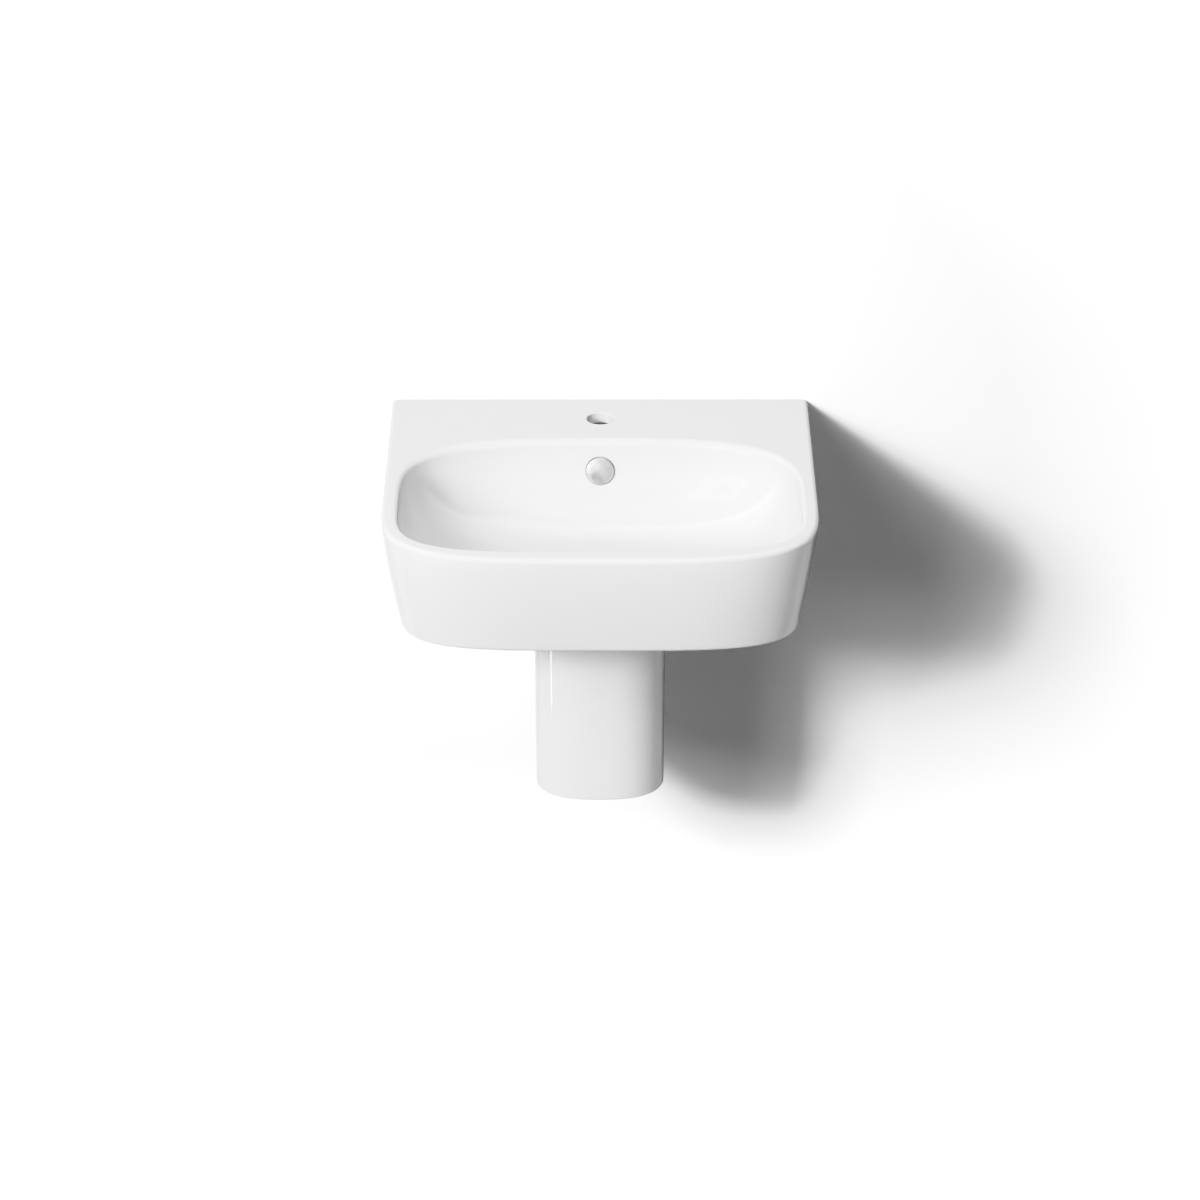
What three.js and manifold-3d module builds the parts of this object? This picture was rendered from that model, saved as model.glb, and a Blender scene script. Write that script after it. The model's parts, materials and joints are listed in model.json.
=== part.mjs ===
// A wall-hung washbasin with a half pedestal, as one group of named meshes, in millimetres.
//
// Frame: X runs across the basin, +Y into the wall, +Z up. The wall is the plane Y = 0 and the
// basin reaches out to -Y. Z = 0 is the axis of the two bolts that hang the basin.
//
// A threaded or sliding fit is drawn with a small radial clearance, and pieces that bear on
// each other keep SEAT_GAP between them.

import * as THREE from "three";
import { mergeVertices } from "three/addons/utils/BufferGeometryUtils.js";
import Module from "manifold-3d";

const wasm = await Module();
wasm.setup();

// ---------------------------------------------------------------- driving dimensions

const SEAT_GAP = 0.3; // between two pieces that bear on each other
const RUN_GAP = 0.4; // radial, between a rod or thread and what is round it

// Basin, outside
const WIDTH = 550;
const DEPTH = 450; // wall to front edge
const RIM_Z = 85; // top of the rim above the wall bolts
const APRON_HEIGHT = 145; // rim to the bottom edge of the skirt
const FRONT_REACH = 160; // length of the curved front, ahead of the straight sides
const RIM_POWER = 3.6; // superellipse power of the front, at the rim
const SKIRT_POWER = 4.1; // and at the bottom edge
const SKIRT_INSET_SIDE = 21.5; // how far the bottom edge stands in from the rim
const SKIRT_INSET_FRONT = 27;
const SKIRT_BULGE = 1.3; // power of the taper: above 1 the skirt is slightly convex
const RIM_EDGE = 6; // radius of the rim's outer edge
const SKIRT_EDGE = 5; // radius of the bottom edge
const BACK_CORNER = 2;
const SHELL = 13; // china under the bowl
const SKIRT_WALL = 11;
const DECK = 15;
const BACK_PANEL = 12;

// Bowl
const RIM_SIDE = 14; // width of the rim beside the bowl
const RIM_FRONT = 20;
const DECK_DEPTH = 112; // wall to the back of the bowl
const BOWL_FORWARD = 14; // widest line of the bowl, ahead of its middle
const BOWL_DEPTH = 115;
const BOWL_FRONT_POWER = 4.1;
const BOWL_BACK_POWER = 3.3;
const BOWL_WALL_POWER = 3.2; // how late the floor turns up into the wall
const BOWL_RISE_POWER = 0.55; // how upright the wall ends
const BOWL_EDGE = 6; // radius where the bowl meets the rim
const BOWL_BACK_EDGE = 10; // and where it meets the deck

// Holes in the basin
const TAP_HOLE = 35; // diameter
const TAP_HOLE_Y = -56.4;
const DRAIN_BACK = 25; // drain behind the bowl's widest line
const DRAIN_HOLE_ROOM = 2.5; // radial, round the waste's thread
const DRAIN_SEAT_ROOM = 1.5; // radial, round the waste's flange
const DRAIN_SEAT_DEPTH = 5;
const DRAIN_BOSS_WALL = 13.5;
const DRAIN_BOSS_DROP = 42; // bowl floor to the underside of the boss
const OVERFLOW_DROP = 42; // rim to the overflow hole
const OVERFLOW_HOLE = 26; // diameter
const OVERFLOW_SPOT = 33; // diameter of the flat round the overflow hole
const CHAMBER_GROOVE = 3.5; // how far the overflow chamber widens the drain hole
const DUCT_WIDTH = 44;
const DUCT_DEPTH = 16;
const DUCT_WALL = 7;
const DUCT_COVER = 11; // china between the bowl and the duct

// Wall fixing of the basin
const SLEEVE_ROOM = 3; // radial, between a bolt and its hole, for the sleeve
const WALL_BOLT_X = 140;
const WALL_BOLT = 10; // thread diameter
const WALL_BOLT_FLANGE = 26; // diameter of the sleeve's flange
const WALL_BOLT_FLATS = 17;
const WALL_BOLT_NUT = 8;
const WALL_BOLT_BOSS_WALL = 16;
const WALL_BOLT_BOSS_DEPTH = 20;
const WALL_BOLT_IN_WALL = 70;
const CUTOUT_WIDTH = 220; // gap in the back panel for the pedestal and the pipes
const CUTOUT_HEIGHT = 40;
const SLEEVE_FLANGE = 2.5; // thickness, in both pairs of fixings
const BOLT_WASHER = 2;
const BOLT_TIP = 8; // bolt beyond its nut

// Half pedestal
const PEDESTAL_HEIGHT = 298;
const PEDESTAL_BELOW_BOWL = 7; // gap under the bowl, which the buffers fill
const PEDESTAL_TOP_WIDTH = 171;
const PEDESTAL_BOTTOM_WIDTH = 168;
const TRAP_ROOM = 9; // trap body to the inside of the pedestal's front, at least
const BOSS_ROOM = 2; // and drain boss to the same
const PEDESTAL_REACH = 65; // length of its curved front
const PEDESTAL_POWER = 3.1;
const PEDESTAL_WALL = 11;
const PEDESTAL_EDGE = 3;
const LUG_Z = -200; // height of the lugs that the pedestal is bolted by
const LUG_HEIGHT = 44;
const LUG_WIDTH = 30;
const LUG_DEPTH = 14;
const LUG_BOLT = 8; // thread diameter
const LUG_SLEEVE_ROOM = 2.5;
const LUG_BOLT_FLANGE = 20;
const LUG_BOLT_FLATS = 13;
const LUG_BOLT_NUT = 6.5;
const LUG_BOLT_IN = 17; // bolt axis from the inside of the pedestal's side
const LUG_BOLT_IN_WALL = 55;
const BUFFER_LENGTH = 34;
const BUFFER_WIDTH = 8;

// Waste, 1 1/4 inch
const WASTE_THREAD = 41.9; // diameter
const WASTE_WALL = 3.2;
const WASTE_LIP = 11; // flange beyond the thread
const WASTE_FLANGE_THICK = 3;
const WASTE_LENGTH = 86;
const WASTE_SEAL = 1.5;
const STOPPER_LAP = 2.75; // stopper beyond the bore
const STOPPER_THICK = 4;
const STOPPER_SEAL = 2;
const STOPPER_TRAVEL = 8;
const SPIDER_DROP = 50; // flange top to the top of the cross-bar disc
const SPIDER_THICK = 4;
const SPIDER_WAY = 11; // diameter of the four ways that the water runs by
const SPIDER_WAY_RADIUS = 10.8; // from the axis to the middle of a way
const WASTE_SLOT_WIDTH = 12; // overflow slots in the tail
const WASTE_SLOT_BELOW = 6; // slot below the middle of the overflow duct
const WASTE_SLOT_ABOVE = 7;
const WASTE_NECK = 2.2; // cone under the flange, radial
const CARTRIDGE = 20; // diameter
const CARTRIDGE_WALL = 2.2;
const CARTRIDGE_HEIGHT = 30;
const CARTRIDGE_FLOOR = 3;
const CARTRIDGE_CAP = 4;
const CARTRIDGE_STUD = 6; // diameter
const CARTRIDGE_STUD_DROP = 8; // stud below the spider
const CARTRIDGE_NUT = 5;
const CARTRIDGE_NUT_FLATS = 10;
const PLUNGER = 7; // diameter
const PISTON_THICK = 3;
const SPRING_WIRE = 1.2;
const SPRING_TURNS = 5;
const WASTE_GASKET = 8;
const WASTE_WASHER = 1.5;
const WASTE_NUT = 12;
const WASTE_NUT_WALL = 6;

// Bottle trap
const TRAP_PIPE = 32; // diameter
const TRAP_PIPE_WALL = 2;
const UNION_NUT_WALL = 4.5;
const UNION_NUT_LENGTH = 22;
const UNION_LIP = 3;
const UNION_GRIPS = 10;
const GRIP_WIDTH = 3.6;
const GRIP_PROUD = 1.6;
const GRIP_ROOT = 1.5; // how deep a rib is rooted in what it stands on
const PIPE_SEAL = 2.4;
const PIPE_FLANGE = 2; // on the top end of the inlet pipe
const TRAP_BODY = 60; // diameter
const TRAP_WALL = 3;
const TRAP_BODY_Z = -186; // shoulder of the body
const TRAP_BODY_HEIGHT = 66;
const TRAP_COLLAR = 44; // diameter
const TRAP_BRANCH_DIAMETER = 40;
const TRAP_BORE_START = 12; // body axis to where the branch's bore opens
const TRAP_OUTLET_Z = -215;
const TRAP_BRANCH_LENGTH = 28; // beyond the side of the body
const TRAP_SOCKET = 12;
const CUP_THREAD_LENGTH = 12;
const CUP_HEIGHT = 62;
const CUP_PROUD = 1.5; // cup beyond the body, radial
const CUP_SHELF = 3.5; // width of the shelf that the seal lies on
const CUP_GRIP_START = 12; // ribs above the underside of the cup
const CUP_GRIP_HEIGHT = 22;
const CUP_SEAL = 2;
const CUP_GRIPS = 12;
const DIP = 26; // how far the inlet pipe ends above the cup's floor
const OUTLET_IN_WALL = 40;
const ESCUTCHEON = 70; // diameter
const ESCUTCHEON_DEPTH = 9;
const ESCUTCHEON_SHEET = 1.2;

// Overflow fittings
const COVER = 36; // diameter
const COVER_THICK = 3;
const COVER_CROWN = 0.8;
const COVER_STAND_OFF = 2.2; // gap that the water runs in by
const INSERT_WALL = 1.6;
const INSERT_LENGTH = 12;
const INSERT_FLANGE = 30; // diameter
const INSERT_FLANGE_THICK = 1.5;
const SPOT_DEPTH = 1.2; // of the flat round the hole, at its middle
const LEG_WIDTH = 5;
const LEG_THICK = 2;
const LEG_ROOM = 0.8; // between a leg and the insert's bore

// ---------------------------------------------------------------- places that follow

const BOWL_CENTRE_Y = -(DECK_DEPTH + DEPTH - RIM_FRONT) / 2 - BOWL_FORWARD;
const DRAIN_Y = BOWL_CENTRE_Y + DRAIN_BACK;
const WASTE_BORE = WASTE_THREAD - 2 * WASTE_WALL;
const WASTE_FLANGE = WASTE_THREAD + 2 * WASTE_LIP;
const WASTE_NUT_FLATS = WASTE_THREAD + 2 * WASTE_NUT_WALL;
const STOPPER = WASTE_BORE + 2 * STOPPER_LAP;
const DRAIN_HOLE = WASTE_THREAD + 2 * DRAIN_HOLE_ROOM;
const DRAIN_SEAT = WASTE_FLANGE + 2 * DRAIN_SEAT_ROOM;
const DRAIN_BOSS = DRAIN_HOLE + 2 * DRAIN_BOSS_WALL;
const WALL_BOLT_HOLE = WALL_BOLT + 2 * SLEEVE_ROOM;
const WALL_BOLT_BOSS = WALL_BOLT_HOLE + 2 * WALL_BOLT_BOSS_WALL;
const LUG_HOLE = LUG_BOLT + 2 * LUG_SLEEVE_ROOM;
const PEDESTAL_ROOM = Math.max(TRAP_BODY / 2 + TRAP_ROOM, DRAIN_BOSS / 2 + BOSS_ROOM);
const PEDESTAL_DEPTH = PEDESTAL_ROOM + PEDESTAL_WALL - DRAIN_Y;
const SKIRT_Z = RIM_Z - APRON_HEIGHT;
const FLOOR_Z = RIM_Z - BOWL_DEPTH;
const BELLY_Z = FLOOR_Z - SHELL;
const FRONT_CENTRE_Y = -(DEPTH - FRONT_REACH);
const BOSS_Z = FLOOR_Z - DRAIN_BOSS_DROP;
const DUCT_OFFSET = DUCT_COVER + DUCT_DEPTH / 2; // bowl surface to the middle of the duct
const DUCT_Z = FLOOR_Z - DUCT_OFFSET;
const PEDESTAL_Z = BELLY_Z - PEDESTAL_BELOW_BOWL;
const WASTE_Z = FLOOR_Z - DRAIN_SEAT_DEPTH + SEAT_GAP + WASTE_SEAL + SEAT_GAP + WASTE_FLANGE_THICK;
const WASTE_END_Z = WASTE_Z - WASTE_LENGTH;
const TRAP_COLLAR_HEIGHT = UNION_NUT_LENGTH - UNION_LIP;
const TRAP_BRANCH = TRAP_BODY / 2 + TRAP_BRANCH_LENGTH; // body axis to the end of the branch
const FACE_OUT = new THREE.Euler(Math.PI / 2, 0, 0); // turns a piece's own +Z to face off the wall

// ---------------------------------------------------------------- materials

function material(color, roughness, metalness = 0) {
  return new THREE.MeshStandardMaterial({ color, roughness, metalness });
}

const CHINA = () => material(0xf2f2f1, 0.08);
const CHROME = () => material(0xd8dadc, 0.12, 1);
const SATIN_CHROME = () => material(0xc9cbcd, 0.3, 1);
const BRASS = () => material(0xb98f3f, 0.35, 1);
const ZINC = () => material(0xb4b7b8, 0.4, 1);
const STAINLESS = () => material(0xbfc2c4, 0.3, 1);
const RUBBER = () => material(0x232425, 0.8);
const WHITE_PLASTIC = () => material(0xeeeeea, 0.4);
const NYLON = () => material(0xdcdcd4, 0.5);

// ---------------------------------------------------------------- geometry helpers

function toSolid(geometry) {
  const bare = geometry.clone();
  bare.deleteAttribute("normal");
  bare.deleteAttribute("uv");
  const merged = mergeVertices(bare, 1e-4);
  const mesh = new wasm.Mesh({
    numProp: 3,
    vertProperties: merged.attributes.position.array,
    triVerts: new Uint32Array(merged.index.array),
  });
  return new wasm.Manifold(mesh);
}

function toGeometry(solid) {
  const mesh = solid.getMesh();
  const geometry = new THREE.BufferGeometry();
  geometry.setAttribute("position", new THREE.BufferAttribute(mesh.vertProperties, 3));
  geometry.setIndex(new THREE.BufferAttribute(mesh.triVerts, 1));
  geometry.computeVertexNormals();
  return geometry;
}

function join(first, ...others) {
  return toGeometry(others.reduce((solid, other) => solid.add(toSolid(other)), toSolid(first)));
}

function cut(first, ...others) {
  return toGeometry(
    others.reduce((solid, other) => solid.subtract(toSolid(other)), toSolid(first)),
  );
}

// A solid of revolution about Z from its section [[radius, z], ...], listed anticlockwise.
function turned(section, segments = 20) {
  const points = section.map(([radius, z]) => new THREE.Vector2(radius, z));
  if (section[0][0] > 0 || section.at(-1)[0] > 0) points.push(points[0].clone());
  return new THREE.LatheGeometry(points, segments).rotateX(Math.PI / 2);
}

// A tube or, with no bore, a rod along Z, given by its diameters.
function tube(outer, bore, bottom, top, segments = 20) {
  return turned(
    [
      [bore / 2, bottom],
      [outer / 2, bottom],
      [outer / 2, top],
      [bore / 2, top],
    ],
    segments,
  );
}

// A prism along Z with flat sides, such as a hexagon, by its distance across flats.
function prism(sides, acrossFlats, bottom, top) {
  const radius = acrossFlats / 2 / Math.cos(Math.PI / sides);
  return new THREE.CylinderGeometry(radius, radius, top - bottom, sides)
    .rotateX(Math.PI / 2)
    .translate(0, 0, (bottom + top) / 2);
}

function block([left, right], [front, back], [bottom, top]) {
  return new THREE.BoxGeometry(right - left, back - front, top - bottom).translate(
    (left + right) / 2,
    (front + back) / 2,
    (bottom + top) / 2,
  );
}

// A closed skin over a stack of outlines, each an equal number of points, listed bottom to top
// and anticlockwise from above, with flat caps.
function loft(rings) {
  const count = rings[0].length;
  const positions = rings.flat().flatMap((p) => [p.x, p.y, p.z]);
  const index = [];
  for (let level = 0; level + 1 < rings.length; level++) {
    for (let i = 0; i < count; i++) {
      const a = level * count + i;
      const b = level * count + ((i + 1) % count);
      index.push(a, b, b + count, a, b + count, a + count);
    }
  }
  const cap = (ring) => {
    const outline = ring.map((p) => new THREE.Vector2(p.x, p.y));
    return THREE.ShapeUtils.triangulateShape(outline, []);
  };
  const last = (rings.length - 1) * count;
  cap(rings[0]).forEach(([a, b, c]) => index.push(c, b, a));
  cap(rings.at(-1)).forEach(([a, b, c]) => index.push(last + a, last + b, last + c));
  const geometry = new THREE.BufferGeometry();
  geometry.setAttribute("position", new THREE.Float32BufferAttribute(positions, 3));
  geometry.setIndex(index);
  return geometry;
}

function superellipse(angle, halfWidth, reach, power) {
  const c = Math.cos(angle);
  const s = Math.sin(angle);
  return [
    halfWidth * Math.sign(c) * Math.abs(c) ** (2 / power),
    reach * Math.sign(s) * Math.abs(s) ** (2 / power),
  ];
}

// An outline in plan: straight back at backY, straight sides, superelliptic front.
function frontedOutline({ halfWidth, centreY, reach, power, backY, corner, z, steps }) {
  const points = [];
  for (let i = 0; i <= steps; i++) {
    const [x, y] = superellipse(Math.PI * (1 + i / steps), halfWidth, reach, power);
    points.push(new THREE.Vector3(x, centreY + y, z));
  }
  const cornerSteps = 3;
  for (let i = 0; i <= 2 * cornerSteps + 1; i++) {
    const right = i <= cornerSteps;
    const turn = ((Math.PI / 2) * (right ? i : i - 1)) / cornerSteps;
    const middle = right ? halfWidth - corner : corner - halfWidth;
    points.push(
      new THREE.Vector3(
        middle + corner * Math.cos(turn),
        backY - corner + corner * Math.sin(turn),
        z,
      ),
    );
  }
  return points;
}

// Where a quarter-round edge has got to: [how far in, how far short of the face].
function quarterRound(radius, steps) {
  return Array.from({ length: steps + 1 }, (_, i) => {
    const turn = ((Math.PI / 2) * i) / steps;
    return [radius * (1 - Math.cos(turn)), radius * (1 - Math.sin(turn))];
  });
}

// ---------------------------------------------------------------- shapes of the basin

// The outside of the basin at one height, stood in by a wall thickness or an edge's round.
function skirtOutline(z, inset, backY, corner) {
  const rise = THREE.MathUtils.clamp((z - SKIRT_Z) / (APRON_HEIGHT - RIM_EDGE), 0, 1);
  const taper = (1 - rise) ** SKIRT_BULGE;
  return frontedOutline({
    halfWidth: WIDTH / 2 - SKIRT_INSET_SIDE * taper - inset,
    centreY: FRONT_CENTRE_Y,
    reach: FRONT_REACH - SKIRT_INSET_FRONT * taper - inset,
    power: THREE.MathUtils.lerp(SKIRT_POWER, RIM_POWER, rise),
    backY,
    corner,
    z,
    steps: 24,
  });
}

function basinOutside() {
  const rings = [];
  for (const [inset, short] of quarterRound(SKIRT_EDGE, 3).reverse()) {
    rings.push(skirtOutline(SKIRT_Z + short, inset, 0, BACK_CORNER));
  }
  for (const share of [0.25, 0.5, 0.75]) {
    rings.push(skirtOutline(SKIRT_Z + share * APRON_HEIGHT, 0, 0, BACK_CORNER));
  }
  for (const [inset, short] of quarterRound(RIM_EDGE, 3)) {
    rings.push(skirtOutline(RIM_Z - short, inset, 0, BACK_CORNER));
  }
  return loft(rings);
}

// The space inside the skirt, up to the underside of the deck.
function basinInside() {
  const rings = [-1, APRON_HEIGHT / 3, (2 * APRON_HEIGHT) / 3, APRON_HEIGHT - DECK].map((rise) =>
    skirtOutline(SKIRT_Z + rise, SKIRT_WALL, -BACK_PANEL, BACK_CORNER),
  );
  return loft(rings);
}

// Radius of the bowl's top edge at one bearing: wider towards the deck.
function bowlEdge(angle) {
  const towardsDeck = THREE.MathUtils.smoothstep(Math.sin(angle), 0.2, 0.9);
  return THREE.MathUtils.lerp(BOWL_EDGE, BOWL_BACK_EDGE, towardsDeck);
}

// How far the bowl lies below the rim where its outline has grown by a share of its way from
// the drain seat (0) to the wall (1).
function bowlDrop(share, edge) {
  return edge + (BOWL_DEPTH - edge) * (1 - share ** BOWL_WALL_POWER) ** BOWL_RISE_POWER;
}

// The bowl's surface, or with a shell the underside of the china, at one share and bearing.
function bowlPoint(share, angle, shell = 0) {
  const edge = bowlEdge(angle);
  const seat = DRAIN_SEAT / 2;
  const back = Math.sin(angle) > 0;
  const wallWidth = WIDTH / 2 - RIM_SIDE - edge;
  const wallBack = -DECK_DEPTH - BOWL_CENTRE_Y - edge;
  const wallFront = DEPTH - RIM_FRONT + BOWL_CENTRE_Y - edge;
  const halfWidth = THREE.MathUtils.lerp(seat, wallWidth, share) + shell;
  const reach = THREE.MathUtils.lerp(seat, back ? wallBack : wallFront, share) + shell;
  const power = THREE.MathUtils.lerp(2, back ? BOWL_BACK_POWER : BOWL_FRONT_POWER, share);
  const [x, y] = superellipse(angle, halfWidth, reach, power);
  const centre = THREE.MathUtils.lerp(DRAIN_Y, BOWL_CENTRE_Y, share);
  const drop = bowlDrop(share, edge);
  const underside = (shell * (drop - edge)) / (BOWL_DEPTH - edge);
  return new THREE.Vector3(x, centre + y, RIM_Z - drop - underside);
}

function bowlRing(share, shell, columns) {
  return Array.from({ length: columns }, (_, i) =>
    bowlPoint(share, (2 * Math.PI * i) / columns, shell),
  );
}

const BOWL_SHARES = [0, 0.3, 0.5, 0.65, 0.77, 0.86, 0.925, 0.965, 0.99, 1];

// The bowl, with its rounded top edge, as the solid that is taken out.
function bowlHollow(columns = 40) {
  const rings = BOWL_SHARES.map((share) => bowlRing(share, 0, columns));
  for (const turn of [Math.PI / 6, Math.PI / 3, Math.PI / 2]) {
    rings.push(
      Array.from({ length: columns }, (_, i) => {
        const angle = (2 * Math.PI * i) / columns;
        const edge = bowlEdge(angle);
        const wall = bowlPoint(1, angle, edge * (1 - Math.cos(turn)));
        return wall.setZ(RIM_Z - edge * (1 - Math.sin(turn)));
      }),
    );
  }
  rings.push(rings.at(-1).map((p) => p.clone().setZ(RIM_Z + 1)));
  return loft(rings);
}

// The outside of the china under the bowl.
function bowlBelly(columns = 32) {
  const shares = BOWL_SHARES.filter((share) => share !== 0.99);
  const rings = shares.map((share) => bowlRing(share, SHELL, columns));
  rings.push(rings.at(-1).map((p) => p.clone().setZ(RIM_Z)));
  return loft(rings);
}

// The middle of the bowl's back wall at one share, and its direction into the bowl.
function backWall(share) {
  const step = 1e-4;
  const point = bowlPoint(share, Math.PI / 2);
  const along = bowlPoint(share - step, Math.PI / 2).sub(point);
  const inward = new THREE.Vector3(0, along.z, -along.y).normalize();
  return { point, inward };
}

// The same, at a distance below the rim.
function backWallAt(drop) {
  const edge = bowlEdge(Math.PI / 2);
  const left = ((drop - edge) / (BOWL_DEPTH - edge)) ** (1 / BOWL_RISE_POWER);
  return backWall((1 - left) ** (1 / BOWL_WALL_POWER));
}

const OVERFLOW = backWallAt(OVERFLOW_DROP);
const OVERFLOW_TILT = Math.atan2(OVERFLOW.inward.z, -OVERFLOW.inward.y);
const FACE_BOWL = new THREE.Euler(Math.PI / 2 - OVERFLOW_TILT, 0, 0);

// A piece drawn on its own Z axis, set on the overflow's axis with +Z into the bowl.
function atOverflow(geometry) {
  return geometry
    .clone()
    .applyMatrix4(new THREE.Matrix4().makeRotationFromEuler(FACE_BOWL))
    .translate(...OVERFLOW.point.toArray());
}

// The overflow duct behind the bowl and under its floor, grown by a wall for its casing.
function duct(grown, endY) {
  const shares = [0.985, 0.95, 0.88, 0.77, 0.62, 0.4, 0.15];
  const route = shares.map((share) => {
    const { point, inward } = backWall(share);
    return point.addScaledVector(inward, -DUCT_OFFSET);
  });
  route.push(new THREE.Vector3(0, endY, DUCT_Z));
  const topOfRoute = route[0].clone().add(new THREE.Vector3(0, 0, grown));
  const path = new THREE.CatmullRomCurve3([topOfRoute, ...route.slice(1)]);
  const halfWidth = DUCT_WIDTH / 2 + grown;
  const halfDepth = DUCT_DEPTH / 2 + grown;
  const section = new THREE.Shape();
  section.moveTo(-halfWidth, -halfDepth);
  section.lineTo(halfWidth, -halfDepth);
  section.lineTo(halfWidth, halfDepth);
  section.lineTo(-halfWidth, halfDepth);
  section.closePath();
  return new THREE.ExtrudeGeometry(section, { steps: 12, extrudePath: path });
}

function facingOut(geometry, x, z) {
  return geometry.clone().rotateX(Math.PI / 2).translate(x, 0, z);
}

function basin() {
  const drainBoss = tube(DRAIN_BOSS, 0, BOSS_Z, FLOOR_Z, 24).translate(0, DRAIN_Y, 0);
  const bossCylinder = tube(WALL_BOLT_BOSS, 0, 0, WALL_BOLT_BOSS_DEPTH);
  const boltBosses = [-WALL_BOLT_X, WALL_BOLT_X].map((x) => facingOut(bossCylinder, x, 0));
  const casing = duct(DUCT_WALL, DRAIN_Y);
  const underside = cut(basinInside(), bowlBelly(), casing, drainBoss, ...boltBosses);
  const outside = join(basinOutside(), drainBoss, casing);

  const chamber = [DUCT_Z - DUCT_DEPTH / 2, DUCT_Z + DUCT_DEPTH / 2];
  const drain = join(
    tube(DRAIN_HOLE, 0, BOSS_Z - 1, FLOOR_Z, 24),
    tube(DRAIN_HOLE + 2 * CHAMBER_GROOVE, 0, ...chamber, 24),
    tube(DRAIN_SEAT, 0, FLOOR_Z - DRAIN_SEAT_DEPTH, FLOOR_Z + 1, 24),
  ).translate(0, DRAIN_Y, 0);
  const tapHole = tube(TAP_HOLE, 0, RIM_Z - DECK - 1, RIM_Z + 1, 28).translate(0, TAP_HOLE_Y, 0);
  const overflow = join(
    atOverflow(tube(OVERFLOW_HOLE, 0, -DUCT_OFFSET, 1)),
    atOverflow(tube(OVERFLOW_SPOT, 0, -SPOT_DEPTH, 4)),
  );
  const boltHole = tube(WALL_BOLT_HOLE, 0, -1, WALL_BOLT_BOSS_DEPTH + 1, 20);
  const boltHoles = [-WALL_BOLT_X, WALL_BOLT_X].map((x) => facingOut(boltHole, x, 0));
  const cutout = block(
    [-CUTOUT_WIDTH / 2, CUTOUT_WIDTH / 2],
    [-BACK_PANEL - 1, 1],
    [SKIRT_Z - 1, SKIRT_Z + CUTOUT_HEIGHT],
  );
  const waterway = join(duct(0, DRAIN_Y), drain, overflow);
  return cut(outside, underside, bowlHollow(), waterway, tapHole, ...boltHoles, cutout);
}

// ---------------------------------------------------------------- half pedestal

const PEDESTAL_FOOT_Z = PEDESTAL_Z - PEDESTAL_HEIGHT;
const PEDESTAL_CENTRE_Y = -(PEDESTAL_DEPTH - PEDESTAL_REACH);

function pedestalOutline(z, inset, backY) {
  const rise = (z - PEDESTAL_FOOT_Z) / PEDESTAL_HEIGHT;
  const width = THREE.MathUtils.lerp(PEDESTAL_BOTTOM_WIDTH, PEDESTAL_TOP_WIDTH, rise);
  return frontedOutline({
    halfWidth: width / 2 - inset,
    centreY: PEDESTAL_CENTRE_Y,
    reach: PEDESTAL_REACH - inset,
    power: PEDESTAL_POWER,
    backY,
    corner: 1,
    z,
    steps: 20,
  });
}

// Half the clear width inside the pedestal at one height.
function pedestalInside(z) {
  const outline = pedestalOutline(z, PEDESTAL_WALL, 0);
  return Math.max(...outline.map((p) => p.x));
}

const LUG_BOLT_X = pedestalInside(LUG_Z) - LUG_BOLT_IN;

function halfPedestal() {
  const outer = [];
  for (const [inset, short] of quarterRound(PEDESTAL_EDGE, 2).reverse()) {
    outer.push(pedestalOutline(PEDESTAL_FOOT_Z + short, inset, 0));
  }
  for (const [inset, short] of quarterRound(PEDESTAL_EDGE, 2)) {
    outer.push(pedestalOutline(PEDESTAL_Z - short, inset, 0));
  }
  const inner = [PEDESTAL_FOOT_Z - 1, PEDESTAL_Z + 1].map((z) =>
    pedestalOutline(z, PEDESTAL_WALL, 10),
  );
  const shell = cut(loft(outer), loft(inner));
  const inside = pedestalInside(LUG_Z);
  const lugs = [-1, 1].map((side) => {
    const span = [side * (inside + PEDESTAL_WALL / 2), side * (inside - LUG_WIDTH)];
    return block(
      span.sort((a, b) => a - b),
      [-LUG_DEPTH, 0],
      [LUG_Z - LUG_HEIGHT / 2, LUG_Z + LUG_HEIGHT / 2],
    );
  });
  const hole = tube(LUG_HOLE, 0, -1, LUG_DEPTH + 1, 20);
  const holes = [-LUG_BOLT_X, LUG_BOLT_X].map((x) => facingOut(hole, x, LUG_Z));
  return cut(join(shell, ...lugs), ...holes);
}

// A rubber pad on the pedestal's top edge, under the bowl, on its own centre.
function pedestalBuffer() {
  const height = PEDESTAL_BELOW_BOWL - 2 * SEAT_GAP;
  return new THREE.BoxGeometry(BUFFER_WIDTH, BUFFER_LENGTH, height);
}

// ---------------------------------------------------------------- fixings

// A screw for a wall plug at one end and a nut at the other. +Z points off the wall.
function hangerBolt(thread, inWall, reach) {
  const core = thread / 2;
  const section = [
    [0, -inWall],
    [core * 0.25, -inWall + 1],
    [core * 0.8, -inWall + 2 * thread],
    [core * 0.8, -8],
    [core, -6],
    [core, reach - 1.2],
    [core - 1, reach],
    [0, reach],
  ];
  return turned(section, 10);
}

// A plastic sleeve that keeps the bolt off the china, with a flange under the washer.
function boltSleeve(thread, hole, length, flange) {
  const bore = thread / 2 + RUN_GAP;
  const outer = hole / 2 - SEAT_GAP;
  const section = [
    [bore, SEAT_GAP],
    [outer, SEAT_GAP],
    [outer, length + SEAT_GAP],
    [flange / 2, length + SEAT_GAP],
    [flange / 2, length + SEAT_GAP + SLEEVE_FLANGE],
    [bore, length + SEAT_GAP + SLEEVE_FLANGE],
  ];
  return turned(section, 12);
}

function washer(thread, outer) {
  return tube(outer, thread + 2 * RUN_GAP, 0, BOLT_WASHER, 12);
}

function hexNut(thread, flats, height) {
  const bore = tube(thread + 2 * RUN_GAP, 0, -1, height + 1, 10);
  return cut(prism(6, flats, 0, height), bore);
}

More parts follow.
